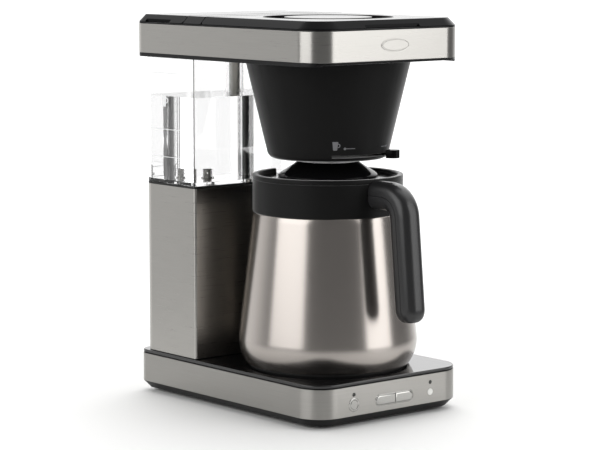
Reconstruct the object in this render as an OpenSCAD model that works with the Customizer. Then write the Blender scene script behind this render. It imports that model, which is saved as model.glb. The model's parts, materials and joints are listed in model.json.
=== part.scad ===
// Drip coffee maker with a thermal carafe: a low base, a steel column that carries
// a clear water tank, a long head with two flip-up lids, a cone brew basket hung
// from the head on rails, and a carafe that stands under it.
// Millimetres. +X right, -Y front, +Z up, z = 0 is the counter.

/* [Body] */
// Width of the base and of the head
body_w = 175; // [165:1:220]
// Depth from the front of the base to the back of the head
body_d = 260; // [250:1:330]
// Height from the counter to the top of the lids
body_h = 350; // [335:1:430]
// Corner radius at the front of the base and head
front_r = 25; // [14:1:28]
// Corner radius at the back of the base and head
rear_r = 12; // [9:1:14]
// Thickness of the steel wraps
steel_t = 0.8; // [0.5:0.1:1.2]
// Wall thickness of the moulded shells
wall_t = 2.4; // [1.6:0.2:3]

/* [Base] */
// Height of the rubber feet that shows
foot_h = 2.5; // [1.5:0.5:5]
// Height of the bevelled bottom tray
tray_h = 7; // [5:1:9]
// Height of the steel band around the base
base_band_h = 26; // [24:1:32]
// How far the top plate stands above the band
plate_rise = 3.7; // [3:0.1:5]
// How much shorter the base is than the head at the back
base_short = 3; // [0:0.5:8]

/* [Column and tank] */
// Inset of the column from the sides of the base
column_inset = 2; // [1:0.5:6]
// Depth of the column and of the tank
column_d = 78; // [72:1:84]
// Distance from the back of the head to the column
column_back = 10.5; // [6:0.5:16]
// Height of the steel column
column_h = 155.8; // [140:1:175]
// Corner radius at the front of the column
column_front_r = 2.6; // [1.5:0.1:6]
// Wall thickness of the water tank
tank_t = 2.5; // [2:0.1:3.5]
// Outer radius of the duct that stands in the tank
duct_r = 9; // [8:0.5:12]

/* [Head] */
// Height of the black strip under the head
strip_h = 3.5; // [3:0.1:5]
// Height of the steel band around the head
head_band_h = 26.5; // [24:0.5:34]
// Height of the black bezel above the band
bezel_h = 1.5; // [1:0.1:3]
// Height of the bevelled lids
lid_h = 7; // [6:0.5:9]
// Length of the fixed bridge between the two lids
bridge_d = 25.5; // [24:0.5:36]
// Length of the tank lid at the back
tank_lid_d = 74.5; // [70:0.5:80]
// Radius of the cap set into the front lid
cap_r = 39; // [30:1:44]
// Width of the groove around that cap
cap_groove = 19; // [8:1:20]

/* [Brew basket] */
// Radius of the basket at the head
basket_top_r = 73.5; // [66:0.5:74]
// Radius of the basket at its lower edge
basket_low_r = 53; // [44:1:56]
// Height of the basket below the head
basket_h = 86.3; // [80:0.1:87]
// Wall thickness of the basket
basket_t = 2.4; // [1.6:0.2:3]
// Radius of the drip outlet
outlet_r = 6; // [4:0.5:8]

/* [Carafe] */
// Distance from the front of the base to the carafe's axis
carafe_setback = 87.5; // [86:0.5:90]
// Largest radius of the carafe
belly_r = 80.3; // [70:0.1:82]
// Height of the widest place above the plate
belly_z = 22.8; // [20:0.1:40]
// Radius of the round between the side and the bottom
belly_round = 36; // [28:1:40]
// Radius of the collar
collar_r = 67.3; // [60:0.1:68]
// Height of the carafe from the plate to the rim
carafe_h = 171.6; // [160:0.1:172]
// Height of the collar
collar_h = 33.8; // [32:0.1:44]
// How far the handle reaches from the carafe's axis
handle_reach = 121.8; // [116:0.1:135]
// Width of the handle
handle_w = 22; // [18:1:28]
// Thickness of the handle
handle_t = 25; // [20:1:26]

/* [Panel] */
// Radius of the power button
power_r = 5; // [4:0.5:6]
// Distance of the power button from the middle
power_x = 45; // [40:1:50]
// Length of the pair of brew buttons
brew_l = 44; // [36:1:50]
// Height of the pair of brew buttons
brew_h = 9.6; // [8:0.2:12]
// Travel of the buttons
button_travel = 1.2; // [0.8:0.1:1.5]
// Gap around each button
button_gap = 0.35; // [0.3:0.05:0.6]

/* [Hidden] */
$fn = 96;

// Clearances
fit = 0.3;           // between pieces that slide, turn or drop in
pin_fit = 0.05;      // radial clearance of a hinge pin
over = 1;            // how far a cut runs past the face it opens

// Plan of the machine. The origin is the middle of the footprint that the body and
// the handle of the carafe take on the counter.
handle_over = handle_reach - carafe_setback;
front_y = -(body_d - handle_over) / 2;
rear_y = front_y + body_d;
head_front_y = front_y + 1;
base_rear_y = rear_y - base_short;
axis_y = front_y + carafe_setback;

// A plan is [width, front y, back y, front corner radius, back corner radius]
base_plan = [body_w, front_y, base_rear_y, front_r, rear_r];
head_plan = [body_w, head_front_y, rear_y, front_r, rear_r];
column_w = body_w - 2 * column_inset;
column_y1 = rear_y - column_back;
column_y0 = column_y1 - column_d;
column_mid_y = (column_y0 + column_y1) / 2;
column_plan = [column_w, column_y0, column_y1, column_front_r, rear_r];

// Heights
tray_z = foot_h + tray_h;
base_band_z = tray_z + base_band_h;
plate_z = base_band_z + plate_rise;
plate_t = 2.6;
column_z = plate_z + column_h;
gasket_t = 2;
lid_z = body_h - lid_h;
bezel_z = lid_z - bezel_h;
head_band_z = bezel_z - head_band_h;
head_z = head_band_z - strip_h;
tray_floor = foot_h + 2;

// Bevels
tray_bevel = 7;
lid_bevel = 6.6;

// Column: a dark gap under its steel, and the seat that closes its top
column_gap = 0.6;
seat_z = column_z - 5;
seat_t = 3;

// Tank
tank_z = column_z + gasket_t;
tank_floor = 3;
duct_wall = 2;
duct_y = column_mid_y + 12;
tank_out_x = -45;
tank_out_r = 7;
spout_r = 6;

// Riser through the duct
riser_r = 5;
riser_bore = 3.5;
riser_z0 = column_z - 30;
feed_z = head_z + 14;

// Boiler and its clamps
boiler_r = 24;
boiler_y = duct_y - 12;
boiler_wall = 2;
clamp_t = 1.5;
clamp_h = 8;
boiler_x = 40;
boiler_z0 = plate_z + 22;
boiler_z1 = column_z - 59.8;
hose_r = 4.5;
hose_bore = 3;
spigot_len = 8;
spigot_bore = 1.8;
hose_low_z = boiler_z0 - spigot_len;
hose_high_z = boiler_z1 + 14;
valve_out_z = column_z - 22;

// Tray screws
screw_r = 1.6;
screw_head_r = 3.1;
screw_head_t = 2.2;
screw_len = 16.5;
screw_slot = 0.8;
boss_r = 4.2;
boss_z = foot_h + 7;
screw_seat_z = foot_h + 3.5;
screw_x = body_w / 2 - 17;
screw_spots = [
    [screw_x, front_y + 40], [-screw_x, front_y + 40],
    [screw_x, base_rear_y - 17], [-screw_x, base_rear_y - 17]
];
foot_r = 8;
foot_stem_r = 5;
foot_x = body_w / 2 - 27;
foot_inset = 24;
foot_spots = [
    [foot_x, front_y + foot_inset], [-foot_x, front_y + foot_inset],
    [foot_x, base_rear_y - foot_inset], [-foot_x, base_rear_y - foot_inset]
];

// Top plate: a bevelled edge, and the hole that the hoses and wires pass through
plate_edge = 0.6;
plate_hole = [90, 44];
control_board_size = [70, 50, 1.6];
control_board_y = column_mid_y - 62;
control_board_lift = 6;

// Panel
panel_z = tray_z + 10;
led_z = tray_z + 18.7;
led_r = 1.7;
clean_r = 3;
brew_x = 2;
brew_split = 3.4;
brew_seam = 0.3;
panel_board_y = front_y + 14;
panel_cut = wall_t + 3;
switch_t = 3.6;
board_t = 1.6;
button_proud = 0.5;
button_edge = 0.6;
button_depth = 4;
button_lip = 1.2;
button_lip_t = 1.5;
lens_proud = 0.1;

// Cord inlet
cord_x = 55;
cord_z = 21;
cord_r = 3.9;
grommet_r = 6.6;
grommet_neck_r = 5.4;
grommet_flange_t = 2;

// Hinges of the lids
pin_r = 1.25;
pin_len = 22;
nose_r = 3.3;
ear_r = 2.5;
hinge_z = body_h - nose_r - 0.1;
hinge_x = 52;
ear_t = 7;
groove_d = 2;
notch_d = 2.6;
notch_h = 3;
notch_side = 36;
notch_front = 62;
seam_rear_y = rear_y - tank_lid_d;
seam_front_y = seam_rear_y - bridge_d;
tank_hinge_y = seam_rear_y + nose_r + fit;
front_hinge_y = seam_front_y - nose_r - fit;

// Openings in the head
well_plan = [column_w - 30, column_y0 + 14, column_y1 - 8, 6, 6];
spray_r = 57;
spray_top = head_z + 24;
spray_t = 2;
spray_z = head_z + 5.4;
deck_t = 3;
duct_end_z = feed_z - 6;

// Basket
rail_lip = 1.1;
flange_t = strip_h - rail_lip - 2 * 0.2;
flange_z = head_z + rail_lip + 0.2;
flange_w = body_w - 15;
rail_w = flange_w - 8;
basket_low_z = head_z - basket_h;
flange_rear_y = axis_y + basket_top_r + 4;
slot_z = basket_low_z + 3.6;
slot_h = 2.4;
lever_z = basket_low_z + 1;
lever_h = 7.4;
lever_out = 8;
basket_slope = (basket_top_r - basket_low_r) / basket_h;
knob_clear = 0.5046;
lever_gap = knob_clear + basket_slope * (lever_z + lever_h - basket_low_z);
lever_rest = 31;
lever_park = -29;
valve_z0 = basket_low_z + basket_t;
valve_z1 = valve_z0 + 5;
hub_r = 13;
port_r = 2.4;
port_x = 4.6;

// Carafe
rim_z = plate_z + carafe_h;
collar_z = rim_z - collar_h;
belly_centre = [belly_r - belly_round, plate_z + belly_z];
// Lean of the straight side, which touches the belly's round and ends at the collar
side_rise = collar_z - belly_centre[1];
side_run = collar_r - belly_centre[0];
side_a = asin(belly_round / norm([side_rise, side_run])) - atan2(side_run, side_rise);
shell_t = 0.8;
liner_gap = 5;
mouth_r = collar_r - 11;
rim_step = 6;
spout_w = 18;
lid_cone_r = 28;
lid_top_z = rim_z + 11;
lid_under_z = lid_top_z - 2.8;
lid_hole_r = 5;
handle_mid_z = rim_z - 13.8;
bend_r = 18.5;
grip_lean = 5.5;
grip_bottom = plate_z + 49.6;
grip_len = (handle_mid_z - bend_r * (1 - sin(grip_lean)) - handle_t / 2 - grip_bottom) / cos(grip_lean);
bend_x = handle_reach - handle_t / 2 - bend_r * cos(grip_lean) - grip_len * sin(grip_lean);
handle_screw_z = [handle_mid_z - 5, handle_mid_z + 5];
handle_screw_in = 7;

// ---------- shared shapes ----------

// Outline of a plan, shrunk by inset
module outline(plan, inset = 0) {
    w = plan[0] - 2 * inset;
    y0 = plan[1] + inset;
    y1 = plan[2] - inset;
    rf = max(plan[3] - inset, 0.5);
    rr = max(plan[4] - inset, 0.5);
    for (side = [-1, 1]) {
        translate([side * (w / 2 - rf), y0 + rf]) circle(r = rf);
        translate([side * (w / 2 - rr), y1 - rr]) circle(r = rr);
    }
    translate([-w / 2 + rf, y0]) square([w - 2 * rf, rf + 0.01]);
    translate([-w / 2, y0 + rf]) square([w, y1 - rr - y0 - rf]);
    translate([-w / 2 + rr, y1 - rr - 0.01]) square([w - 2 * rr, rr + 0.01]);
}

module slab(plan, inset, z0, z1) {
    translate([0, 0, z0]) linear_extrude(z1 - z0) outline(plan, inset);
}

// Upright wall between two insets of a plan
module wall(plan, outside, inside, z0, z1) {
    difference() {
        slab(plan, outside, z0, z1);
        slab(plan, inside, z0 - over, z1 + over);
    }
}

// Block whose sides lean from inset low at the bottom to inset high at the top
module bevelled(plan, low, high, z0, z1) {
    w = plan[0];
    y0 = plan[1];
    y1 = plan[2];
    rf = plan[3];
    rr = plan[4];
    h = z1 - z0;
    for (side = [-1, 1]) {
        translate([side * (w / 2 - rf), y0 + rf, z0])
            cylinder(r1 = max(rf - low, 0.3), r2 = max(rf - high, 0.3), h = h);
        translate([side * (w / 2 - rr), y1 - rr, z0])
            cylinder(r1 = max(rr - low, 0.3), r2 = max(rr - high, 0.3), h = h);
    }
    translate([0, y1 - rr, z0]) rotate([90, 0, 0]) linear_extrude(y1 - rr - y0 - rf)
        polygon([[-w / 2 + low, 0], [w / 2 - low, 0], [w / 2 - high, h], [-w / 2 + high, h]]);
    translate([-w / 2 + rf, 0, z0]) rotate([90, 0, 90]) linear_extrude(w - 2 * rf)
        polygon([[y0 + low, 0], [y0 + rf, 0], [y0 + rf, h], [y0 + high, h]]);
    translate([-w / 2 + rr, 0, z0]) rotate([90, 0, 90]) linear_extrude(w - 2 * rr)
        polygon([[y1 - rr, 0], [y1 - low, 0], [y1 - high, h], [y1 - rr, h]]);
}

// Cylinder along X or Y, centred on x or starting at y
module rod_x(r, x, y, z, length) {
    translate([x - length / 2, y, z]) rotate([0, 90, 0]) cylinder(r = r, h = length);
}

module rod_y(r, x, y0, z, length) {
    translate([x, y0, z]) rotate([-90, 0, 0]) cylinder(r = r, h = length);
}

module rod_z(r, x, y, z0, z1) {
    translate([x, y, z0]) cylinder(r = r, h = z1 - z0);
}

// Flat bar with round ends that lies across the front, along X
module pill(length, h, x, z, y0, y1) {
    rod_y(h / 2, x - length / 2 + h / 2, y0, z, y1 - y0);
    rod_y(h / 2, x + length / 2 - h / 2, y0, z, y1 - y0);
    translate([x - length / 2 + h / 2, y0, z - h / 2]) cube([length - h, y1 - y0, h]);
}

// ---------- base ----------

module feet() {
    color("#1c1c1c")
    for (spot = foot_spots) {
        rod_z(foot_r, spot[0], spot[1], 0, foot_h);
        rod_z(foot_stem_r, spot[0], spot[1], foot_h, tray_floor);
    }
}

module base_tray() {
    color("#242424")
    difference() {
        union() {
            difference() {
                bevelled(base_plan, tray_bevel, 0, foot_h, tray_z);
                bevelled(base_plan, tray_bevel + wall_t, wall_t, tray_floor, tray_z + 0.01);
            }
            wall(base_plan, steel_t, steel_t + wall_t, tray_z, plate_z - plate_t);
            wall(base_plan, 0.3, steel_t + wall_t, base_band_z, plate_z - plate_t - 0.5);
            for (spot = screw_spots) rod_z(boss_r, spot[0], spot[1], foot_h + 1, boss_z);
        }
        for (spot = screw_spots) {
            rod_z(screw_head_r + fit, spot[0], spot[1], foot_h - over, screw_seat_z);
            rod_z(screw_r + fit, spot[0], spot[1], foot_h, boss_z + over);
        }
        for (spot = foot_spots) rod_z(foot_stem_r, spot[0], spot[1], foot_h - over, tray_floor + over);
        rod_y(power_r + button_lip + 0.5, -power_x, front_y - over, panel_z, panel_cut);
        pill(brew_l + 2 * button_lip + 1, brew_h + 2 * button_lip + 1, brew_x, panel_z,
            front_y - over, front_y - over + panel_cut);
        rod_y(clean_r, power_x, front_y - over, panel_z, panel_cut);
        for (side = [-1, 1]) rod_y(led_r, side * power_x, front_y - over, led_z, panel_cut);
        rod_y(grommet_neck_r, cord_x, base_rear_y - panel_cut, cord_z, panel_cut + over);
    }
}

module base_band() {
    color("#a8a49e")
    difference() {
        wall(base_plan, 0, steel_t, tray_z, base_band_z);
        rod_y(power_r + button_gap, -power_x, front_y - over, panel_z, panel_cut);
        pill(brew_l + 2 * button_gap, brew_h + 2 * button_gap, brew_x, panel_z,
            front_y - over, front_y + over);
        rod_y(clean_r, power_x, front_y - over, panel_z, panel_cut);
        for (side = [-1, 1]) rod_y(led_r, side * power_x, front_y - over, led_z, panel_cut);
        rod_y(grommet_neck_r, cord_x, base_rear_y - panel_cut, cord_z, panel_cut + over);
    }
}

module base_plate() {
    color("#2c2c2e")
    difference() {
        union() {
            slab(base_plan, 0.2, plate_z - plate_t, plate_z - plate_edge);
            bevelled(base_plan, 0.2, 0.2 + plate_edge, plate_z - plate_edge, plate_z);
            for (spot = screw_spots) rod_z(boss_r, spot[0], spot[1], boss_z, plate_z - plate_t + 0.5);
        }
        for (spot = screw_spots) rod_z(screw_r, spot[0], spot[1], foot_h, plate_z - plate_t - 6);
        translate([-plate_hole[0] / 2, column_mid_y - plate_hole[1] / 2, plate_z - plate_t - over])
            cube([plate_hole[0], plate_hole[1], plate_t + 2 * over]);
    }
}

module tray_screws() {
    color("#b8b8b8")
    for (spot = screw_spots) difference() {
        union() {
            rod_z(screw_head_r, spot[0], spot[1], screw_seat_z - screw_head_t, screw_seat_z);
            rod_z(screw_r, spot[0], spot[1], screw_seat_z, screw_seat_z + screw_len);
        }
        translate([spot[0], spot[1], screw_seat_z - screw_head_t]) {
            cube([4, screw_slot, 2 * screw_slot], center = true);
            cube([screw_slot, 4, 2 * screw_slot], center = true);
        }
    }
}

module cord_grommet() {
    color("#1c1c1c")
    difference() {
        union() {
            rod_y(grommet_r, cord_x, base_rear_y, cord_z, grommet_flange_t);
            rod_y(grommet_neck_r, cord_x, base_rear_y - steel_t - wall_t, cord_z, steel_t + wall_t);
            rod_y(grommet_r, cord_x, base_rear_y - steel_t - wall_t - grommet_flange_t, cord_z,
                grommet_flange_t);
        }
        rod_y(cord_r, cord_x, base_rear_y - 10, cord_z, 20);
    }
}

// Board on four posts, with a transformer, a relay and two capacitors
module control_board() {
    w = control_board_size[0];
    d = control_board_size[1];
    color("#2f6b46")
    translate([-w / 2, control_board_y, tray_floor]) {
        for (x = [4, w - 4], y = [4, d - 4]) translate([x, y, 0]) cylinder(r = 2.5, h = control_board_lift);
        translate([0, 0, control_board_lift]) {
            cube(control_board_size);
            translate([8, 10, 0]) cube([22, 16, 16.6]);
            translate([36, 12, 0]) cube([10, 24, 13.6]);
            translate([56, 14, 0]) cylinder(r = 5, h = 15.6);
            translate([56, 34, 0]) cylinder(r = 4, h = 11.6);
        }
    }
}

// Circuit board behind the front panel, with a switch behind each button and a lamp behind each lens
module panel_board() {
    color("#2f6b46")
    difference() {
        union() {
            translate([-power_x - 9, panel_board_y, tray_z - 1])
                cube([2 * power_x + 18, board_t, base_band_h - 1]);
            for (x = [-power_x, brew_x - brew_l / 4, brew_x + brew_l / 4])
                translate([x - 3, panel_board_y - switch_t, panel_z - 3]) cube([6, switch_t, 6]);
            for (side = [-1, 1]) rod_y(led_r, side * power_x, panel_board_y - 5, led_z, 5);
            rod_y(clean_r - 1, power_x, panel_board_y - 5, panel_z, 5);
            for (side = [-1, 1]) translate([side * (power_x + 5) - 2, panel_board_y + board_t, tray_floor])
                cube([4, 3, tray_z + 8 - tray_floor]);
        }
        for (side = [-1, 1]) rod_y(1.2, side * (power_x + 5), panel_board_y - over, tray_z + 5, 6);
    }
}

// Each button has a cap in the panel, a wider skirt behind it and a stem that reaches its switch
module button_stem(x) {
    rod_y(1.8, x, front_y + button_depth, panel_z,
        panel_board_y - switch_t - button_travel - 0.1 - front_y - button_depth);
}

module power_button() {
    color("#dcdcdc")
    difference() {
        union() {
            rod_y(power_r - button_edge, -power_x, front_y - button_proud, panel_z, 2 * button_edge);
            rod_y(power_r, -power_x, front_y - button_proud + button_edge, panel_z,
                button_depth + button_proud - button_edge);
            rod_y(power_r + button_lip, -power_x, front_y + steel_t, panel_z, button_lip_t);
            button_stem(-power_x);
        }
        rod_y(power_r - 1.8, -power_x, front_y - button_proud - over, panel_z, over + 0.35);
    }
}

// The pair of brew buttons shares one pill outline, cut at brew_split
module brew_half(side) {
    cut = side < 0 ? brew_split - brew_seam / 2 - body_w : brew_split + brew_seam / 2;
    intersection() {
        union() {
            pill(brew_l - 2 * button_edge, brew_h - 2 * button_edge, brew_x, panel_z,
                front_y - button_proud, front_y + button_edge);
            pill(brew_l, brew_h, brew_x, panel_z,
                front_y - button_proud + button_edge, front_y + button_depth);
            pill(brew_l + 2 * button_lip, brew_h + 2 * button_lip, brew_x, panel_z,
                front_y + steel_t, front_y + steel_t + button_lip_t);
        }
        translate([cut, front_y - 10, panel_z - 20]) cube([body_w, 20, 40]);
    }
    button_stem(brew_x + side * brew_l / 4);
}

module brew_button_left() {
    color("#dcdcdc") brew_half(-1);
}

module brew_button_right() {
    color("#dcdcdc") brew_half(1);
}

module clean_light() {
    color("#f2f2ee")
    rod_y(clean_r, power_x, front_y - lens_proud, panel_z, steel_t + wall_t + lens_proud);
}

module led_lenses() {
    color("#30302c")
    for (side = [-1, 1])
        rod_y(led_r, side * power_x, front_y - lens_proud, led_z, steel_t + wall_t + lens_proud);
}

// ---------- column ----------

module column_frame() {
    color("#242424")
    union() {
        wall(column_plan, steel_t, steel_t + wall_t, plate_z + column_gap, seat_z);
        wall(column_plan, steel_t - 0.3, steel_t + wall_t + 3, plate_z, plate_z + column_gap);
        wall(column_plan, steel_t, steel_t + wall_t + 3, plate_z + column_gap, plate_z + 3);
    }
}

module column_shell() {
    color("#a8a49e")
    wall(column_plan, 0, steel_t, plate_z + column_gap, column_z);
}

module tank_seat() {
    color("#242424")
    difference() {
        union() {
            slab(column_plan, steel_t, seat_z, seat_z + seat_t);
            wall(column_plan, steel_t, steel_t + wall_t, seat_z + seat_t, column_z);
            rod_z(tank_out_r + 6, tank_out_x, duct_y, seat_z + seat_t, column_z);
        }
        rod_z(spout_r, tank_out_x, duct_y, seat_z - over, column_z + over);
        rod_z(riser_r + fit, 0, duct_y, seat_z - over, column_z + over);
    }
}

module tank_gasket() {
    color("#161616")
    difference() {
        union() {
            wall(column_plan, 0, 6, column_z, tank_z);
            rod_z(tank_out_r + 6, tank_out_x, duct_y, column_z, tank_z);
        }
        rod_z(spout_r, tank_out_x, duct_y, column_z - over, tank_z + over);
    }
}

module water_tank() {
    color("#e8f0f2")
    difference() {
        union() {
            difference() {
                slab(column_plan, 0, tank_z, head_z);
                slab(column_plan, tank_t, tank_z + tank_floor, head_z + over);
            }
            rod_z(duct_r, 0, duct_y, tank_z, head_z);
            rod_z(spout_r, tank_out_x, duct_y, tank_z - 1.6, tank_z + 0.5);
        }
        rod_z(duct_r - duct_wall, 0, duct_y, tank_z - over, head_z + over);
        rod_z(spout_r - 1.5, tank_out_x, duct_y, tank_z - 4, tank_z + tank_floor + over);
    }
}

module tank_strainer() {
    color("#d8d8d8")
    difference() {
        union() {
            rod_z(tank_out_r, tank_out_x, duct_y, tank_z + tank_floor, tank_z + tank_floor + 1.2);
            rod_z(tank_out_r - 2, tank_out_x, duct_y, tank_z + tank_floor, tank_z + tank_floor + 8);
        }
        rod_z(tank_out_r - 3, tank_out_x, duct_y, tank_z + tank_floor - over, tank_z + tank_floor + 7);
        for (a = [0 : 60 : 300]) translate([tank_out_x, duct_y, tank_z + tank_floor + 4.2]) rotate([0, 90, a])
            cylinder(r = 1.1, h = 10);
    }
}

module check_valve() {
    color("#d8d2c0")
    difference() {
        union() {
            rod_z(spout_r, tank_out_x, duct_y, seat_z, column_z);
            rod_z(tank_out_r + 2, tank_out_x, duct_y, seat_z - 4, seat_z);
            rod_z(tank_out_r, tank_out_x, duct_y, valve_out_z, seat_z - 4);
            rod_z(hose_bore, tank_out_x, duct_y, valve_out_z - spigot_len, valve_out_z);
        }
        rod_z(spout_r - 2, tank_out_x, duct_y, valve_out_z + 2, column_z + over);
        rod_z(spigot_bore, tank_out_x, duct_y, valve_out_z - spigot_len - over, column_z + over);
    }
}

// Silicone hose that drops from the valve, crosses the column and enters the boiler
module bent_hose(x0, x1, y, z_from, z_to, z_across) {
    difference() {
        union() {
            rod_z(hose_r, x0, y, z_across, z_from);
            translate([x0, y, z_across]) sphere(r = hose_r);
            rod_x(hose_r, (x0 + x1) / 2, y, z_across, abs(x1 - x0));
            translate([x1, y, z_across]) sphere(r = hose_r);
            rod_z(hose_r, x1, y, min(z_across, z_to), max(z_across, z_to));
        }
        rod_z(hose_bore, x0, y, min(z_across, z_from), max(z_across, z_from) + over);
        rod_x(hose_bore, (x0 + x1) / 2, y, z_across, abs(x1 - x0));
        rod_z(hose_bore, x1, y, min(z_across, z_to), max(z_across, z_to) + over);
    }
}

module inlet_hose() {
    color("#e6e2da")
    bent_hose(tank_out_x, boiler_x, duct_y, valve_out_z, boiler_z0 - 3, hose_low_z);
}

module boiler() {
    color("#9a9a9a")
    difference() {
        union() {
            rod_z(boiler_r, boiler_x, boiler_y, boiler_z0, boiler_z1);
            rod_z(hose_bore, boiler_x, duct_y, boiler_z0 - spigot_len, boiler_z0);
            rod_z(hose_bore, boiler_x, duct_y, boiler_z1, boiler_z1 + spigot_len);
        }
        rod_z(boiler_r - boiler_wall, boiler_x, boiler_y, boiler_z0 + boiler_wall, boiler_z1 - boiler_wall);
        rod_z(spigot_bore, boiler_x, duct_y, boiler_z0 - spigot_len - over, boiler_z1 + spigot_len + over);
    }
}

// Two clamps with tabs that hold the boiler to the front wall of the column
module boiler_clamps() {
    color("#8c8c90")
    for (z = [boiler_z0 + 12, boiler_z1 - 12 - clamp_h]) difference() {
        union() {
            rod_z(boiler_r + clamp_t, boiler_x, boiler_y, z, z + clamp_h);
            translate([boiler_x - 8, column_y0 + steel_t + wall_t, z])
                cube([16, boiler_y - boiler_r - column_y0 - steel_t - wall_t, clamp_h]);
        }
        rod_z(boiler_r, boiler_x, boiler_y, z - over, z + clamp_h + over);
    }
}

module thermostat() {
    color("#c8b070")
    rod_z(7, boiler_x, duct_y - 20, boiler_z1, boiler_z1 + 5);
}

module outlet_hose() {
    color("#e6e2da")
    difference() {
        union() {
            rod_z(hose_r, boiler_x, duct_y, boiler_z1 + 1, hose_high_z);
            translate([boiler_x, duct_y, hose_high_z]) sphere(r = hose_r);
            rod_x(hose_r, boiler_x / 2, duct_y, hose_high_z, boiler_x);
            translate([0, duct_y, hose_high_z]) sphere(r = hose_r);
            rod_z(hose_r, 0, duct_y, hose_high_z, riser_z0);
        }
        rod_z(hose_bore, boiler_x, duct_y, boiler_z1, hose_high_z);
        rod_x(hose_bore, boiler_x / 2, duct_y, hose_high_z, boiler_x);
        rod_z(hose_bore, 0, duct_y, hose_high_z, riser_z0 + over);
    }
}

module riser_pipe() {
    color("#f0f0ee")
    difference() {
        rod_z(riser_r, 0, duct_y, riser_z0, duct_end_z);
        rod_z(riser_bore, 0, duct_y, riser_z0 - over, feed_z);
    }
}

// ---------- head ----------

// Walls and underside of the head, with the rails that carry the basket's flange
module head_frame() {
    color("#242424")
    difference() {
        union() {
            wall(head_plan, steel_t, steel_t + wall_t, head_band_z, bezel_z);
            slab(head_plan, 0.3, head_z, head_band_z);
            wall(well_plan, -wall_t, 0, head_band_z, lid_z - deck_t);
        }
        slab(well_plan, 0, head_z - over, head_band_z + over);
        rod_y(riser_r + fit, 0, column_y0, feed_z, duct_y - column_y0);
        translate([-flange_w / 2 - fit, head_front_y - over, head_z + rail_lip])
            cube([flange_w + 2 * fit, flange_rear_y - head_front_y + over + fit, strip_h]);
        translate([-rail_w / 2, head_front_y - over, head_z - over])
            cube([rail_w, flange_rear_y - head_front_y + over + fit, strip_h + 2 * over]);
    }
}

module head_band() {
    color("#b0aca6")
    wall(head_plan, 0, steel_t, head_band_z, bezel_z);
}

// Top deck under the lids, open over the tank and over the spray chamber
module head_deck() {
    color("#202022")
    difference() {
        union() {
            slab(head_plan, steel_t + wall_t, lid_z - deck_t, bezel_z);
            slab(head_plan, 0.4, bezel_z, lid_z);
        }
        slab(well_plan, 0, lid_z - 10, lid_z + over);
        rod_z(spray_r + 6, 0, axis_y, lid_z - 10, lid_z + over);
    }
}

// Part of the bevelled top between two y values
module top_slab(y0, y1) {
    intersection() {
        bevelled(head_plan, 0, lid_bevel, lid_z + 0.2, body_h);
        translate([-body_w, y0, lid_z - 1]) cube([2 * body_w, y1 - y0, lid_h + 2]);
    }
}

// Ears stand beside the seam and carry the pins of a lid
module hinge_ears(y, side) {
    for (x = [-hinge_x, hinge_x]) difference() {
        union() {
            rod_x(ear_r, x, y, hinge_z, ear_t);
            translate([x - ear_t / 2, y - ear_r, lid_z]) cube([ear_t, 2 * ear_r, hinge_z - lid_z]);
            translate([x - ear_t / 2, min(y, y + side * 8), lid_z]) cube([ear_t, 8, 1.2]);
        }
        rod_x(pin_r + pin_fit, x, y, hinge_z, ear_t + 2 * over);
    }
}

module head_bridge() {
    color("#26262a")
    union() {
        difference() {
            top_slab(seam_front_y, seam_rear_y);
            for (end = [seam_front_y, seam_rear_y]) translate([0, end, body_h]) rotate([45, 0, 0])
                cube([2 * body_w, 1.8, 1.8], center = true);
        }
        translate([-body_w / 2 + lid_bevel, seam_front_y, lid_z])
            cube([body_w - 2 * lid_bevel, bridge_d, 0.5]);
        hinge_ears(tank_hinge_y, -1);
        hinge_ears(front_hinge_y, 1);
    }
}

// Room in a lid for the ears, open downwards and towards the bridge
module ear_slots(y, side) {
    r = ear_r + fit;
    for (x = [-hinge_x, hinge_x]) {
        rod_x(r, x, y, hinge_z, ear_t + 2 * fit);
        translate([x - ear_t / 2 - fit, y - r, lid_z - over])
            cube([ear_t + 2 * fit, 2 * r, hinge_z - lid_z + over]);
        translate([x - ear_t / 2 - fit, side < 0 ? y - 2 * r : y, lid_z - over])
            cube([ear_t + 2 * fit, 2 * r, hinge_z - lid_z + over + r]);
    }
}

module tank_lid() {
    color("#26262a")
    difference() {
        union() {
            difference() {
                top_slab(tank_hinge_y, rear_y);
                slab([well_plan[0] - 2, tank_hinge_y + 8, column_y1 - 6, 6, 6], 0, lid_z - over, lid_z + 2.4);
            }
            intersection() {
                rod_x(nose_r, 0, tank_hinge_y, hinge_z, body_w);
                top_slab(seam_rear_y, rear_y);
            }
        }
        ear_slots(tank_hinge_y, -1);
        for (x = [-hinge_x, hinge_x]) rod_x(pin_r, x, tank_hinge_y, hinge_z, pin_len);
        // Finger notch along the left bevel
        translate([-body_w / 2 - over, (tank_hinge_y + rear_y - notch_side) / 2, lid_z - over])
            cube([notch_d + over, notch_side, notch_h + over]);
    }
}

module tank_lid_pins() {
    color("#c0c0c0")
    for (x = [-hinge_x, hinge_x]) rod_x(pin_r, x, tank_hinge_y, hinge_z, pin_len);
}

module front_lid() {
    color("#26262a")
    difference() {
        union() {
            top_slab(head_front_y, front_hinge_y);
            intersection() {
                rod_x(nose_r, 0, front_hinge_y, hinge_z, body_w);
                top_slab(head_front_y, seam_front_y);
            }
        }
        ear_slots(front_hinge_y, 1);
        for (x = [-hinge_x, hinge_x]) rod_x(pin_r, x, front_hinge_y, hinge_z, pin_len);
        rod_z(cap_r + cap_groove, 0, axis_y, body_h - groove_d, body_h + over);
        rod_z(cap_r - 4, 0, axis_y, body_h - 2 * groove_d, body_h + over);
        rod_z(spray_r, 0, axis_y, lid_z - over, lid_z + 1.6);
        translate([-notch_front / 2, head_front_y - over, lid_z - over])
            cube([notch_front, notch_d + over, notch_h + over]);
    }
}

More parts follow.
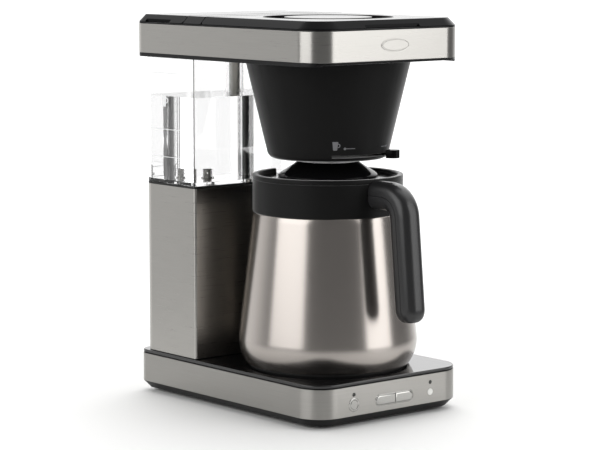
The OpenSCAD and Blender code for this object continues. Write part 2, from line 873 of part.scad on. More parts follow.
module front_lid_cap() {
    color("#2c2c2e")
    union() {
        rod_z(cap_r, 0, axis_y, body_h - groove_d, body_h);
        rod_z(cap_r - 4, 0, axis_y, body_h - 2 * groove_d, body_h - groove_d);
    }
}

module front_lid_pins() {
    color("#c0c0c0")
    for (x = [-hinge_x, hinge_x]) rod_x(pin_r, x, front_hinge_y, hinge_z, pin_len);
}

// Plain oval plate on the front of the head
module head_badge() {
    color("#b8b4ae")
    translate([brew_x, head_front_y - 0.4, head_band_z + head_band_h / 2]) rotate([-90, 0, 0])
        linear_extrude(0.4) intersection() {
            translate([0, 20]) circle(r = 25.6);
            translate([0, -20]) circle(r = 25.6);
        }
}

module feed_pipe() {
    color("#f0f0ee")
    difference() {
        union() {
            rod_z(riser_r + 2, 0, duct_y, duct_end_z, feed_z);
            translate([0, duct_y, feed_z]) sphere(r = riser_r + 2);
            rod_y(riser_r, 0, axis_y + spray_r - 2, feed_z, duct_y - axis_y - spray_r + 2);
        }
        rod_z(riser_bore, 0, duct_y, duct_end_z - over, feed_z);
        rod_y(riser_bore, 0, axis_y, feed_z, duct_y - axis_y);
    }
}

// Round chamber above the basket, hung from the deck
module spray_chamber() {
    color("#2a2a2c")
    difference() {
        union() {
            rod_z(spray_r, 0, axis_y, head_z + 5, spray_top);
            rod_z(spray_r + 13, 0, axis_y, spray_top - 2, spray_top);
            for (a = [45 : 90 : 315])
                rod_z(3, (spray_r + 9) * cos(a), axis_y + (spray_r + 9) * sin(a), spray_top, lid_z - deck_t);
        }
        rod_z(spray_r - 2, 0, axis_y, head_z + 4, spray_top - 2);
        rod_y(riser_r, 0, axis_y + spray_r - 3, feed_z, 10);
    }
}

module spray_plate() {
    color("#c8c8c8")
    difference() {
        rod_z(spray_r - 2, 0, axis_y, spray_z, spray_z + spray_t);
        for (ring = [1 : 3], i = [0 : ring * 6 - 1])
            rod_z(1.5, ring * 12 * cos(i * 60 / ring), axis_y + ring * 12 * sin(i * 60 / ring),
                spray_z - over, spray_z + spray_t + over);
    }
}

// ---------- brew basket ----------

// The floor is double: the drip valve and the arm of its lever turn between the two
module brew_basket() {
    color("#1e1e1f")
    difference() {
        union() {
            intersection() {
                slab(head_plan, 0.5, flange_z, flange_z + flange_t);
                translate([-flange_w / 2, head_front_y, flange_z])
                    cube([flange_w, flange_rear_y - head_front_y, flange_t]);
            }
            basket_cone(0, basket_low_z, head_z + strip_h / 2, 4);
        }
        basket_cone(basket_t, valve_z1 + basket_t, head_z + strip_h + over, 3);
        basket_cone(basket_t, valve_z0, valve_z1, 0);
        rod_z(outlet_r, 0, axis_y, basket_low_z - over, valve_z0 + over);
        for (side = [-1, 1]) rotate_lever() rod_z(port_r, side * port_x, 0, valve_z1 - over, valve_z1 + 5);
        translate([0, axis_y, slot_z]) rotate([0, 0, -90 + lever_park - 8])
            rotate_extrude(angle = lever_rest - lever_park + 16)
                translate([basket_low_r - 12, 0]) square([22, slot_h]);
    }
}

// Solid cone of the basket between two heights, t inside its outer skin, with a bevel at the bottom
module basket_cone(t, z0, z1, bevel) {
    r0 = basket_low_r - t + basket_slope * (z0 - basket_low_z);
    r1 = basket_low_r - t + basket_slope * (z1 - basket_low_z);
    translate([0, axis_y, 0]) rotate_extrude() polygon([
        [0, z0], [r0 - bevel, z0], [r0 - bevel * 0.3, z0 + bevel * 0.3], [r0 + basket_slope * bevel, z0 + bevel],
        [r1, z1], [0, z1]
    ]);
}

// Turns what it holds to the lever's place, about the basket's axis
module rotate_lever() {
    translate([0, axis_y, 0]) rotate([0, 0, lever_rest]) children();
}

// Silicone disc in the hub of the lever: its two ports meet the two in the floor
module basket_valve() {
    color("#8a8a88")
    rotate_lever() difference() {
        rod_z(hub_r - 3, 0, 0, valve_z0 + fit, valve_z1 - fit);
        for (side = [-1, 1]) rod_z(port_r, side * port_x, 0, valve_z0 - over, valve_z1 + over);
    }
}

// Lever that swings in the slot and turns the drip valve
module selector_lever() {
    color("#141414")
    rotate_lever() difference() {
        union() {
            rod_z(hub_r, 0, 0, valve_z0 + fit, valve_z1 - fit);
            translate([-4, -basket_low_r - 4, slot_z + fit])
                cube([8, basket_low_r - hub_r + 7, slot_h - 2 * fit]);
            translate([-5.5, -basket_low_r - lever_out, lever_z]) cube([11, lever_out - lever_gap, lever_h]);
            rod_z(5.5, 0, -basket_low_r - lever_out, lever_z, lever_z + lever_h);
        }
        rod_z(hub_r - 3, 0, 0, valve_z0 - over, valve_z1 + over);
    }
}

// ---------- carafe ----------

function arc_points(centre, r, a0, a1, steps) =
    [for (i = [0 : steps]) centre + r * [cos(a0 + (a1 - a0) * i / steps), sin(a0 + (a1 - a0) * i / steps)]];

// Outline of the body shrunk by t, from the bottom centre to the top centre
function body_profile(t, z0, z1) =
    let (bottom_a = -asin(min((belly_centre[1] - z0) / (belly_round - t), 1)))
    concat(
        [[0, z0]],
        arc_points(belly_centre, belly_round - t, bottom_a, side_a, 14),
        [[collar_r - t / cos(side_a), z1], [0, z1]]
    );

module carafe_shell() {
    color("#a09c96")
    translate([0, axis_y, 0]) difference() {
        rotate_extrude() polygon(body_profile(0, plate_z + 2, collar_z));
        rotate_extrude() polygon(body_profile(shell_t, plate_z + 2.8, collar_z + 0.01));
    }
}

module carafe_base() {
    color("#1c1c1c")
    rod_z(belly_r - 9.5, 0, axis_y, plate_z, plate_z + 2);
}

module carafe_liner() {
    color("#b4b2ae")
    translate([0, axis_y, 0]) difference() {
        union() {
            rotate_extrude() polygon(body_profile(liner_gap, plate_z + 8, collar_z));
            translate([0, 0, collar_z - 0.1]) cylinder(r = collar_r - liner_gap, h = 6);
        }
        rotate_extrude() polygon(body_profile(liner_gap + 1, plate_z + 9, collar_z));
        translate([0, 0, collar_z - 0.2]) cylinder(r = collar_r - liner_gap - 1, h = 10);
    }
}

module carafe_collar() {
    color("#1e1e1f")
    difference() {
        union() {
            rod_z(collar_r, 0, axis_y, collar_z, rim_z - 4.4);
            rod_z(collar_r - 0.5, 0, axis_y, rim_z - 4.4, rim_z - 3.9);
            rod_z(collar_r, 0, axis_y, rim_z - 3.9, rim_z);
        }
        rod_z(collar_r - liner_gap, 0, axis_y, collar_z - over, collar_z + 6);
        rod_z(mouth_r, 0, axis_y, collar_z + 6 - 0.1, rim_z + over);
        rod_z(mouth_r + rim_step, 0, axis_y, rim_z - 5, rim_z + over);
        translate([-spout_w / 2, axis_y + mouth_r - 3, rim_z - 5]) cube([spout_w, 20, 10]);
        for (z = handle_screw_z) {
            rod_y(1.5, 0, axis_y - collar_r - 3, z, 20);
            rod_y(3.1, 0, axis_y - collar_r + handle_screw_in, z, 20);
        }
    }
}

// Cross-section of the handle, nearly an oval
module grip_section() {
    r = 9;
    for (x = [-1, 1], y = [-1, 1]) translate([x * (handle_t / 2 - r), y * (handle_w / 2 - r)]) circle(r = r);
    square([handle_t, handle_w - 2 * r], center = true);
    square([handle_t - 2 * r, handle_w], center = true);
}

// The handle lies in its own x-y plane, x away from the carafe's axis and y up,
// and is then stood up to point to the front
module carafe_handle() {
    color("#1e1e1f")
    difference() {
        translate([0, axis_y, handle_mid_z]) rotate([90, 0, -90]) {
            translate([collar_r - 8, 0, 0]) rotate([90, 0, 90]) linear_extrude(bend_x - collar_r + 8)
                grip_section();
            translate([bend_x, -bend_r, 0]) rotate([0, 0, grip_lean]) {
                rotate_extrude(angle = 90 - grip_lean) translate([bend_r, 0]) grip_section();
                translate([bend_r, 0, 0]) rotate([90, 0, 0]) linear_extrude(grip_len) grip_section();
                translate([bend_r, -grip_len, 0]) rotate([0, 0, 180]) rotate_extrude(angle = 180)
                    intersection() {
                        grip_section();
                        translate([0, -handle_w]) square([handle_t, 2 * handle_w]);
                    }
            }
        }
        rod_z(collar_r, 0, axis_y, collar_z - 20, rim_z + 20);
        for (z = handle_screw_z) rod_y(1.2, 0, axis_y - collar_r - 14, z, 20);
    }
}

module handle_screws() {
    color("#b8b8b8")
    for (z = handle_screw_z) {
        rod_y(1.2, 0, axis_y - collar_r - 13, z, 13 + handle_screw_in);
        rod_y(2.8, 0, axis_y - collar_r + handle_screw_in, z, 1.6);
    }
}

module carafe_lid() {
    color("#26262a")
    difference() {
        union() {
            rod_z(mouth_r + rim_step - fit, 0, axis_y, rim_z - 4.8, rim_z - 1.2);
            rod_z(mouth_r - 4, 0, axis_y, rim_z - 24, rim_z - 4);
            translate([0, axis_y, rim_z - 1.3])
                cylinder(r1 = lid_cone_r + 18, r2 = lid_cone_r, h = lid_top_z - rim_z + 1.3);
        }
        rod_z(mouth_r - 7, 0, axis_y, rim_z - 25, rim_z - 4);
        translate([0, axis_y, rim_z - 4.1])
            cylinder(r1 = lid_cone_r + 17, r2 = lid_cone_r - 3, h = lid_under_z - rim_z + 4.1);
        rod_z(lid_hole_r, 0, axis_y, rim_z - 10, rim_z + 20);
        translate([-spout_w / 2 + 1, axis_y + mouth_r - 6, rim_z - 30]) cube([spout_w - 2, 20, 40]);
    }
}

module lid_gasket() {
    color("#3c3c3c")
    difference() {
        rod_z(mouth_r - fit, 0, axis_y, rim_z - 16, rim_z - 12);
        rod_z(mouth_r - 4, 0, axis_y, rim_z - 17, rim_z - 11);
    }
}

// Tube that leads the coffee from the lid to the bottom of the carafe
module lid_tube() {
    color("#2a2a2c")
    difference() {
        union() {
            rod_z(7, 0, axis_y, plate_z + 20, lid_under_z);
            rod_z(11, 0, axis_y, lid_under_z - 2, lid_under_z);
        }
        rod_z(lid_hole_r, 0, axis_y, plate_z + 10, rim_z + 20);
    }
}

feet();
base_tray();
base_band();
base_plate();
tray_screws();
cord_grommet();
control_board();
panel_board();
power_button();
brew_button_left();
brew_button_right();
clean_light();
led_lenses();
column_frame();
column_shell();
tank_seat();
tank_gasket();
water_tank();
tank_strainer();
check_valve();
inlet_hose();
boiler();
boiler_clamps();
thermostat();
outlet_hose();
riser_pipe();
head_frame();
head_band();
head_deck();
head_bridge();
head_badge();
feed_pipe();
spray_chamber();
spray_plate();
tank_lid();
tank_lid_pins();
front_lid();
front_lid_cap();
front_lid_pins();
brew_basket();
basket_valve();
selector_lever();
carafe_shell();
carafe_liner();
carafe_base();
carafe_collar();
carafe_handle();
handle_screws();
carafe_lid();
lid_gasket();
lid_tube();
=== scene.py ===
"""Finishes a drip coffee maker: rounded and brushed pieces over its fixed frame, and a plain studio."""

import json
import math

import bpy
from bpy.props import FloatProperty, FloatVectorProperty, IntProperty, PointerProperty
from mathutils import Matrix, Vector


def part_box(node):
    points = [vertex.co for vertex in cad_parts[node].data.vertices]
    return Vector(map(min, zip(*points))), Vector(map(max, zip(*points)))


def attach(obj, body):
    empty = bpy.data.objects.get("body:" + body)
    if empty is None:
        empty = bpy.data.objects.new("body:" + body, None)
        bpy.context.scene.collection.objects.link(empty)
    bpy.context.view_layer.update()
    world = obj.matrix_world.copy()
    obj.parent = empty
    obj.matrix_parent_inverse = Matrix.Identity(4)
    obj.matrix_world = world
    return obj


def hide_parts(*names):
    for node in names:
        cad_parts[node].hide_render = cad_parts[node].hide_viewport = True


bl_info = {
    "name": "Drip coffee maker finishes",
    "version": (1, 0, 0),
    "blender": (4, 5, 0),
    "location": "3D View > Sidebar > Coffee maker",
    "description": "Models and finishes the shown pieces of a drip coffee maker with a thermal carafe",
    "category": "Object",
}

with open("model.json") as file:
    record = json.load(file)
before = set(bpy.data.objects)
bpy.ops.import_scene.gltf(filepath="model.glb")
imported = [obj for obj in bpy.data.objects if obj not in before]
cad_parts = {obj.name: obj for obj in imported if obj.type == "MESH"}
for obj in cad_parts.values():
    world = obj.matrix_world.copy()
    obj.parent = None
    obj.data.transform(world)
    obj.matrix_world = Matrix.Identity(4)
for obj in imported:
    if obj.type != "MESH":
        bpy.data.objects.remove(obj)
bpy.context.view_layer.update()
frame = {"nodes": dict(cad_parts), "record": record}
MM = 0.001


def linear(hex_colour):
    """An sRGB hex colour as linear red, green and blue."""
    parts = [int(hex_colour[i : i + 2], 16) / 255 for i in (1, 3, 5)]
    return tuple(p / 12.92 if p <= 0.04045 else ((p + 0.055) / 1.055) ** 2.4 for p in parts)


# ---------- places taken from the frame ----------

def low(node):
    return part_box(node)[0]


def high(node):
    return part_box(node)[1]


BODY_LOW, BODY_HIGH = low("carafe_shell"), high("carafe_shell")
AXIS = Vector(((BODY_LOW.x + BODY_HIGH.x) / 2, (BODY_LOW.y + BODY_HIGH.y) / 2, 0))
COLLAR_R = (high("carafe_collar").x - low("carafe_collar").x) / 2
RIM_Z = high("carafe_collar").z
BASKET_LOW_Z = low("brew_basket").z
HEAD_Z = high("water_tank").z


# ---------- what a user may change ----------

def colour_property(name, description, hex_colour):
    return FloatVectorProperty(
        name=name, description=description, subtype="COLOR", size=3, min=0, max=1, default=linear(hex_colour)
    )


class COFFEE_PG_sizes(bpy.types.PropertyGroup):
    """Sizes of the modelled detail."""

    edge_round: FloatProperty(
        name="Moulded edge", description="Width of the round on moulded edges", default=0.5 * MM,
        unit="LENGTH",
    )
    steel_round: FloatProperty(
        name="Steel edge", description="Width of the round on the edges of the steel wraps", default=0.3 * MM,
        unit="LENGTH",
    )
    belly_round: FloatProperty(
        name="Belly round", description="Radius between the side and the bottom of the carafe",
        default=36 * MM, unit="LENGTH",
    )
    water_level: FloatProperty(
        name="Water level", description="Height of the water above the counter", default=276.6 * MM,
        unit="LENGTH",
    )
    grip_lean: FloatProperty(
        name="Grip lean", description="Lean of the carafe's grip", default=math.radians(5.5), unit="ROTATION"
    )
    basket_ribs: IntProperty(
        name="Basket ribs", description="Number of ribs inside the brew basket", default=24, min=6, max=48
    )


class COFFEE_PG_colours(bpy.types.PropertyGroup):
    """Colours of the finishes."""

    steel: colour_property("Steel", "Brushed stainless wraps", "#a8a6a2")
    carafe: colour_property("Carafe", "Turned stainless carafe", "#aca6a1")
    gloss: colour_property("Gloss black", "Polished moulded lids", "#0f0f10")
    moulded: colour_property("Moulded black", "Satin moulded body", "#101011")
    basket: colour_property("Basket", "Fine matt basket and collar", "#101010")
    print_white: colour_property("White print", "Marks on the tank", "#f4f5f5")
    print_grey: colour_property("Grey print", "Marks on the basket", "#77777a")
    floor: colour_property("Floor", "Plain studio floor", "#eaeae9")


def sizes():
    return bpy.context.scene.coffee_sizes


def colours():
    return bpy.context.scene.coffee_colours


# ---------- hand tools ----------

def clear_selection():
    """Leaves edit mode and deselects everything."""
    if bpy.context.object is not None and bpy.context.object.mode != "OBJECT":
        bpy.ops.object.mode_set(mode="OBJECT")
    bpy.ops.object.select_all(action="DESELECT")


def take(piece):
    """Makes piece the only selected and active object."""
    clear_selection()
    piece.hide_set(False)
    piece.select_set(True)
    bpy.context.view_layer.objects.active = piece
    return piece


def pick(piece, kind, test):
    """Opens edit mode on piece with the vertices, edges or faces selected that pass test.

    An edge's test is given both its ends, a vertex's its place, and a face's its centre and normal."""
    take(piece)
    mesh = piece.data
    for group in (mesh.vertices, mesh.edges, mesh.polygons):
        group.foreach_set("select", [False] * len(group))
    if kind == "VERT":
        chosen = [v for v in mesh.vertices if test(v.co)]
    elif kind == "EDGE":
        chosen = [e for e in mesh.edges if test(*[mesh.vertices[i].co for i in e.vertices])]
    else:
        chosen = [p for p in mesh.polygons if test(p.center, p.normal)]
    for item in chosen:
        item.select = True
    bpy.context.tool_settings.mesh_select_mode = (kind == "VERT", kind == "EDGE", kind == "FACE")
    bpy.ops.object.mode_set(mode="EDIT")


def edit_all(piece):
    """Opens edit mode on piece with all of it selected."""
    take(piece)
    bpy.context.tool_settings.mesh_select_mode = (True, False, False)
    bpy.ops.object.mode_set(mode="EDIT")
    bpy.ops.mesh.select_all(action="SELECT")


def leave_edit():
    bpy.ops.object.mode_set(mode="OBJECT")


def apply_modifier(piece, kind, **settings):
    """Adds a modifier to piece, sets it and applies it."""
    take(piece)
    bpy.ops.object.modifier_add(type=kind)
    modifier = piece.modifiers[-1]
    for key, value in settings.items():
        setattr(modifier, key, value)
    bpy.ops.object.modifier_apply(modifier=modifier.name)


def cut_with(piece, cutter):
    """Cuts piece with cutter and throws the cutter away."""
    apply_modifier(piece, "BOOLEAN", object=cutter, operation="DIFFERENCE", solver="EXACT")
    bpy.data.objects.remove(cutter, do_unlink=True)


def round_edges(piece, width, segments=2, outer="MITER_ARC"):
    """Rounds the edges of piece that are sharper than 30 degrees."""
    apply_modifier(
        piece, "BEVEL", width=width, segments=segments, limit_method="ANGLE", angle_limit=math.radians(30),
        use_clamp_overlap=False, miter_outer=outer,
    )


def smooth(piece, angle=35, weighted=True):
    """Shades piece smooth across soft edges, with flat faces kept flat."""
    take(piece)
    bpy.ops.object.shade_smooth_by_angle(angle=math.radians(angle))
    if weighted:
        apply_modifier(piece, "WEIGHTED_NORMAL", keep_sharp=True, weight=80)


def place(piece, body, slot, material, *stands_for):
    """Rests a finished piece's object at the origin, paints it, and hangs it on its body."""
    take(piece)
    bpy.ops.object.transform_apply(location=True, rotation=True, scale=True)
    piece.data.materials.clear()
    piece.data.materials.append(material)
    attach(piece, body)
    if stands_for:
        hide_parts(*stands_for)
    return piece


def name_piece(name):
    piece = bpy.context.object
    piece.name = name
    piece.data.name = name
    return piece


def softened(node, name, width, segments=2, outer="MITER_ARC"):
    """Copy of a CAD node with its doubles merged, its flats made whole and its sharp edges rounded.

    Rounding never takes a vertex out of the node's own box."""
    clear_selection()
    piece = bpy.data.objects.new(name, frame["nodes"][node].data.copy())
    bpy.context.scene.collection.objects.link(piece)
    edit_all(piece)
    bpy.ops.mesh.remove_doubles(threshold=0.002 * MM)
    bpy.ops.mesh.dissolve_limited(angle_limit=math.radians(0.5))
    leave_edit()
    if width:
        round_edges(piece, width, segments, outer)
        lowest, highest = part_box(node)
        for vertex in piece.data.vertices:
            vertex.co = [min(max(c, a), b) for c, a, b in zip(vertex.co, lowest, highest)]
    smooth(piece)
    return piece


def turned(name, rings, centre, vertices):
    """Turned piece, drawn ring by ring about an upright line and back to its first ring.

    Rings are radius and height."""
    clear_selection()
    (radius, height), rest = rings[0], rings[1:]
    bpy.ops.mesh.primitive_circle_add(vertices=vertices, radius=radius, location=(centre.x, centre.y, height))
    piece = name_piece(name)
    bpy.ops.object.transform_apply(location=True, rotation=True, scale=True)
    edit_all(piece)
    for ring in rest + rings[:1]:
        bpy.ops.mesh.extrude_region_move(TRANSFORM_OT_translate={"value": (0, 0, ring[1] - height)})
        bpy.ops.transform.resize(
            value=(ring[0] / radius, ring[0] / radius, 1), center_override=(centre.x, centre.y, ring[1])
        )
        radius, height = ring
    bpy.ops.mesh.select_all(action="SELECT")
    bpy.ops.mesh.remove_doubles(threshold=0.001 * MM)
    bpy.ops.mesh.normals_make_consistent(inside=False)
    leave_edit()
    return piece


def arc(centre, radius, start, end, steps):
    """Points of an arc as radius and height, with its angles in degrees."""
    return [
        (
            centre[0] + radius * math.cos(math.radians(start + (end - start) * i / steps)),
            centre[1] + radius * math.sin(math.radians(start + (end - start) * i / steps)),
        )
        for i in range(steps + 1)
    ]


def block(name, lowest, highest):
    """Plain block between two corners, a start for other shapes and for cutters."""
    clear_selection()
    lowest, highest = Vector(lowest), Vector(highest)
    bpy.ops.mesh.primitive_cube_add(size=1, location=(lowest + highest) / 2)
    piece = name_piece(name)
    piece.scale = highest - lowest
    bpy.ops.object.transform_apply(location=True, rotation=True, scale=True)
    return piece


def is_upright(a, b):
    return abs(a.z - b.z) > 1e-5 and (a.xy - b.xy).length < 1e-6


def rounded_block(name, lowest, highest, front_r, rear_r, segments=10):
    """Block with its upright edges rounded, with one radius at the front and one at the back."""
    piece = block(name, lowest, highest)
    middle = (lowest[1] + highest[1]) / 2
    for radius, at_front in ((front_r, True), (rear_r, False)):
        pick(piece, "EDGE", lambda a, b: is_upright(a, b) and (a.y < middle) == at_front)
        bpy.ops.mesh.bevel(offset=radius, segments=segments, affect="EDGES", clamp_overlap=False)
        leave_edit()
    return piece


def rod(name, radius, start, length, axis="Z", vertices=64):
    """Straight rod from a point along z or y, used as a cutter and as the start of small round pieces."""
    clear_selection()
    turn, step = {
        "Z": ((0, 0, 0), Vector((0, 0, 1))), "Y": ((-math.pi / 2, 0, 0), Vector((0, 1, 0))),
    }[axis]
    bpy.ops.mesh.primitive_cylinder_add(
        vertices=vertices, radius=radius, depth=length, location=Vector(start) + step * length / 2,
        rotation=turn,
    )
    piece = name_piece(name)
    bpy.ops.object.transform_apply(location=True, rotation=True, scale=True)
    return piece


def join_all(pieces, name):
    """Makes several pieces one mesh."""
    take(pieces[0])
    for piece in pieces[1:]:
        piece.select_set(True)
    bpy.context.view_layer.objects.active = pieces[0]
    bpy.ops.object.join()
    return name_piece(name)


# ---------- materials ----------

MADE = {}


def add_node(tree, kind, settings=None, links=None):
    """Adds a node with its settings and the links into it."""
    node = tree.nodes.new(kind)
    for key, value in (settings or {}).items():
        if key in node.inputs:
            node.inputs[key].default_value = value
        else:
            setattr(node, key, value)
    for socket, source in (links or {}).items():
        tree.links.new(source, node.inputs[socket])
    return node


def start_material(name, colour, **values):
    """A new material whose shader has the values that are the same all over it."""
    material = bpy.data.materials.new(name)
    material.use_nodes = True
    tree = material.node_tree
    shader = tree.nodes["Principled BSDF"]
    shader.inputs["Base Color"].default_value = (*colour, 1)
    for key, value in values.items():
        shader.inputs[key.replace("_", " ").title().replace("Ior", "IOR")].default_value = value
    return material, tree, shader


def spotted(tree, size_mm, stretch=(1, 1, 1), detail=2.0):
    """Noise whose spots are about size_mm across, drawn out along x, y and z by stretch."""
    place_of = add_node(tree, "ShaderNodeTexCoord").outputs["Object"]
    scale = [1 / (size_mm * MM * s) for s in stretch]
    mapping = add_node(tree, "ShaderNodeMapping", {"Scale": scale}, {"Vector": place_of})
    return add_node(
        tree, "ShaderNodeTexNoise", {"Scale": 1.0, "Detail": detail, "Roughness": 0.6},
        {"Vector": mapping.outputs[0]},
    ).outputs["Fac"]


def vary(tree, shader, noise, socket, lowest, highest):
    """Lets a number on the shader run between two values with the noise."""
    run = add_node(
        tree, "ShaderNodeMapRange",
        {"From Min": 0.3, "From Max": 0.7, "To Min": lowest, "To Max": highest}, {"Value": noise},
    )
    tree.links.new(run.outputs["Result"], shader.inputs[socket])


def tint(tree, shader, noise, colour, share):
    """Lets the colour run a share darker and lighter with the noise."""
    ramp = add_node(tree, "ShaderNodeValToRGB", None, {"Fac": noise})
    for stop, place_at, factor in ((0, 0.3, 1 - share), (1, 0.7, 1 + share)):
        ramp.color_ramp.elements[stop].position = place_at
        ramp.color_ramp.elements[stop].color = (*[min(c * factor, 1) for c in colour], 1)
    tree.links.new(ramp.outputs["Color"], shader.inputs["Base Color"])


def bump(tree, shader, noise, depth_mm, strength=1.0):
    """Raises the surface by up to depth_mm with the noise."""
    node = add_node(
        tree, "ShaderNodeBump", {"Strength": strength, "Distance": depth_mm * MM}, {"Height": noise}
    )
    tree.links.new(node.outputs["Normal"], shader.inputs["Normal"])


def brushed(name, colour, low_rough, high_rough, grain_mm, length_mm, share, depth_mm, pull):
    """Steel brushed level: streaks run around the piece, so they are long in x and y and thin in z.

    Its highlights are pulled out upright, across the streaks."""
    material, tree, shader = start_material(
        name, colour, metallic=1.0, anisotropic=pull, anisotropic_rotation=0.25
    )
    level = add_node(tree, "ShaderNodeTangent", {"direction_type": "RADIAL", "axis": "Z"})
    tree.links.new(level.outputs["Tangent"], shader.inputs["Tangent"])
    ratio = length_mm / grain_mm
    streaks = spotted(tree, grain_mm, (ratio, ratio, 1), 3.0)
    tint(tree, shader, streaks, colour, share)
    vary(tree, shader, streaks, "Roughness", low_rough, high_rough)
    bump(tree, shader, streaks, depth_mm)
    return material


def brushed_stainless_wrap():
    # Stainless sheet with a long grain from an abrasive belt: soft level streaks and a broad blurred sheen.
    # The real grain is about 0.1 mm high and is drawn 0.4 mm high, as it would not show.
    return brushed(
        "brushed_stainless_wrap", tuple(colours().steel), low_rough=0.27, high_rough=0.33, grain_mm=0.4,
        length_mm=40, share=0.04, depth_mm=0.001, pull=0.7,
    )


def stainless_base_painted_shade():
    # The same kind of sheet round the base, its colour a fifth darker than the other wraps as painted shade,
    # and a little duller.
    painted_shade_steel = [c * 0.8 for c in colours().steel]
    return brushed(
        "stainless_base_painted_shade", painted_shade_steel, low_rough=0.3, high_rough=0.37, grain_mm=0.4,
        length_mm=40, share=0.04, depth_mm=0.001, pull=0.6,
    )


def turned_stainless_carafe():
    # Stainless brushed on a lathe: finer, shorter streaks around the body, and clean upright highlights.
    return brushed(
        "turned_stainless_carafe", tuple(colours().carafe), low_rough=0.23, high_rough=0.27, grain_mm=0.35,
        length_mm=8, share=0.02, depth_mm=0.0004, pull=0.55,
    )


def moulded(name, colour, low_rough, high_rough, grain_mm, depth_mm, **values):
    """Moulded plastic: a fine even texture from the mould, with a little change in sheen."""
    material, tree, shader = start_material(name, colour, **values)
    grain = spotted(tree, grain_mm)
    vary(tree, shader, grain, "Roughness", low_rough, high_rough)
    tint(tree, shader, spotted(tree, grain_mm * 30), colour, 0.06)
    bump(tree, shader, grain, depth_mm)
    return material


def gloss_black_abs():
    # ABS from a polished mould: a deep black mirror with faint handling haze.
    return moulded("gloss_black_abs", tuple(colours().gloss), 0.06, 0.11, 9, 0.004, specular_ior_level=0.05)


def polished_black_plate():
    # Hard black glass-filled plate under the carafe: a clear mirror with a few faint rub marks.
    return moulded(
        "polished_black_plate", tuple(colours().gloss), 0.05, 0.12, 14, 0.003, specular_ior_level=0.6
    )


def satin_black_abs():
    # ABS from a lightly textured mould: dark, with a soft broad sheen.
    return moulded("satin_black_abs", tuple(colours().moulded), 0.36, 0.46, 0.7, 0.01, specular_ior_level=0.2)


def matt_black_polypropylene():
    # Polypropylene from a spark-eroded mould: a fine matt skin that lightens at glancing angles.
    return moulded(
        "matt_black_polypropylene", tuple(colours().basket), 0.44, 0.54, 0.6, 0.012, specular_ior_level=0.13,
        sheen_weight=0.8, sheen_roughness=0.3,
    )


def soft_touch_grip():
    # Nylon with a soft satin skin: smoother than the collar, with long soft highlights.
    return moulded("soft_touch_grip", linear("#222223"), 0.27, 0.34, 0.5, 0.006, specular_ior_level=0.5)


def black_rubber():
    # Nitrile rubber from a plain mould: matt and slightly dusty.
    return moulded("black_rubber", linear("#191918"), 0.7, 0.85, 0.9, 0.02, ior=1.52)


def white_nylon():
    # Natural nylon: warm white and faintly waxy.
    return moulded("white_nylon", linear("#eceae4"), 0.4, 0.5, 1.2, 0.01, transmission_weight=0.5)


def clear_silicone():
    # Extruded silicone: milky, soft and dull.
    return moulded("clear_silicone", linear("#efede8"), 0.4, 0.5, 1.5, 0.01, transmission_weight=0.8)


def solder_mask():
    # Glass-fibre board under green lacquer: flat green with a slight weave.
    return moulded("solder_mask", linear("#2c6a43"), 0.28, 0.4, 1.0, 0.02, ior=1.5)


def milky_lens():
    # Opal polycarbonate over an unlit lamp: an even pale white with a soft sheen.
    material, tree, shader = start_material("milky_lens", linear("#e2e2de"))
    vary(tree, shader, spotted(tree, 1.5), "Roughness", 0.2, 0.3)
    return material


def smoked_lens():
    # Dark tinted polycarbonate over an unlit lamp.
    return moulded("smoked_lens", linear("#2a2a28"), 0.08, 0.14, 1.5, 0.004)


def metal(name, hex_colour, low_rough, high_rough, grain_mm=1.2):
    """Plain metal whose sheen changes a little over the surface."""
    material, tree, shader = start_material(name, linear(hex_colour), metallic=1.0)
    spots = spotted(tree, grain_mm)
    vary(tree, shader, spots, "Roughness", low_rough, high_rough)
    bump(tree, shader, spots, 0.003)
    return material


def chrome_plate():
    # Decorative chromium over moulded buttons: almost a mirror, in a plain warm grey.
    return metal("chrome_plate", "#adaca9", 0.1, 0.16, 3)


def zinc_plate():
    # Zinc on steel screws and pins: bright grey with a soft haze.
    return metal("zinc_plate", "#c6c7ca", 0.25, 0.4)


def drawn_stainless():
    # Deep-drawn stainless inside the machine and the carafe: satin.
    return metal("drawn_stainless", "#b8b5b0", 0.28, 0.4, 2)


def rolled_brass():
    # Plain brass cap of the cut-out.
    return metal("rolled_brass", "#c9a960", 0.25, 0.35)


def clear_copolyester():
    # Clear copolyester from a polished mould: colourless, with a faint waviness that bends what is behind it.
    material, tree, shader = start_material(
        "clear_copolyester", linear("#fefefe"), roughness=0.015, ior=1.49, transmission_weight=1.0
    )
    bump(tree, shader, spotted(tree, 35), 0.03, 0.25)
    return material


def still_water():
    # Still tap water: clear, with its own weaker bend.
    material, tree, shader = start_material(
        "still_water", linear("#fefefe"), roughness=0.0, ior=1.33, transmission_weight=1.0
    )
    bump(tree, shader, spotted(tree, 50), 0.02, 0.15)
    return material


def ink(name, colour):
    """Pad-printed ink: flat, slightly uneven and a little rough."""
    material, tree, shader = start_material(name, colour, ior=1.48)
    patches = spotted(tree, 0.8)
    vary(tree, shader, patches, "Roughness", 0.45, 0.6)
    tint(tree, shader, patches, colour, 0.04)
    return material


def white_ink():
    # White pad print on the tank.
    return ink("white_ink", tuple(colours().print_white))


def grey_ink():
    # Grey pad print on the basket.
    return ink("grey_ink", tuple(colours().print_grey))


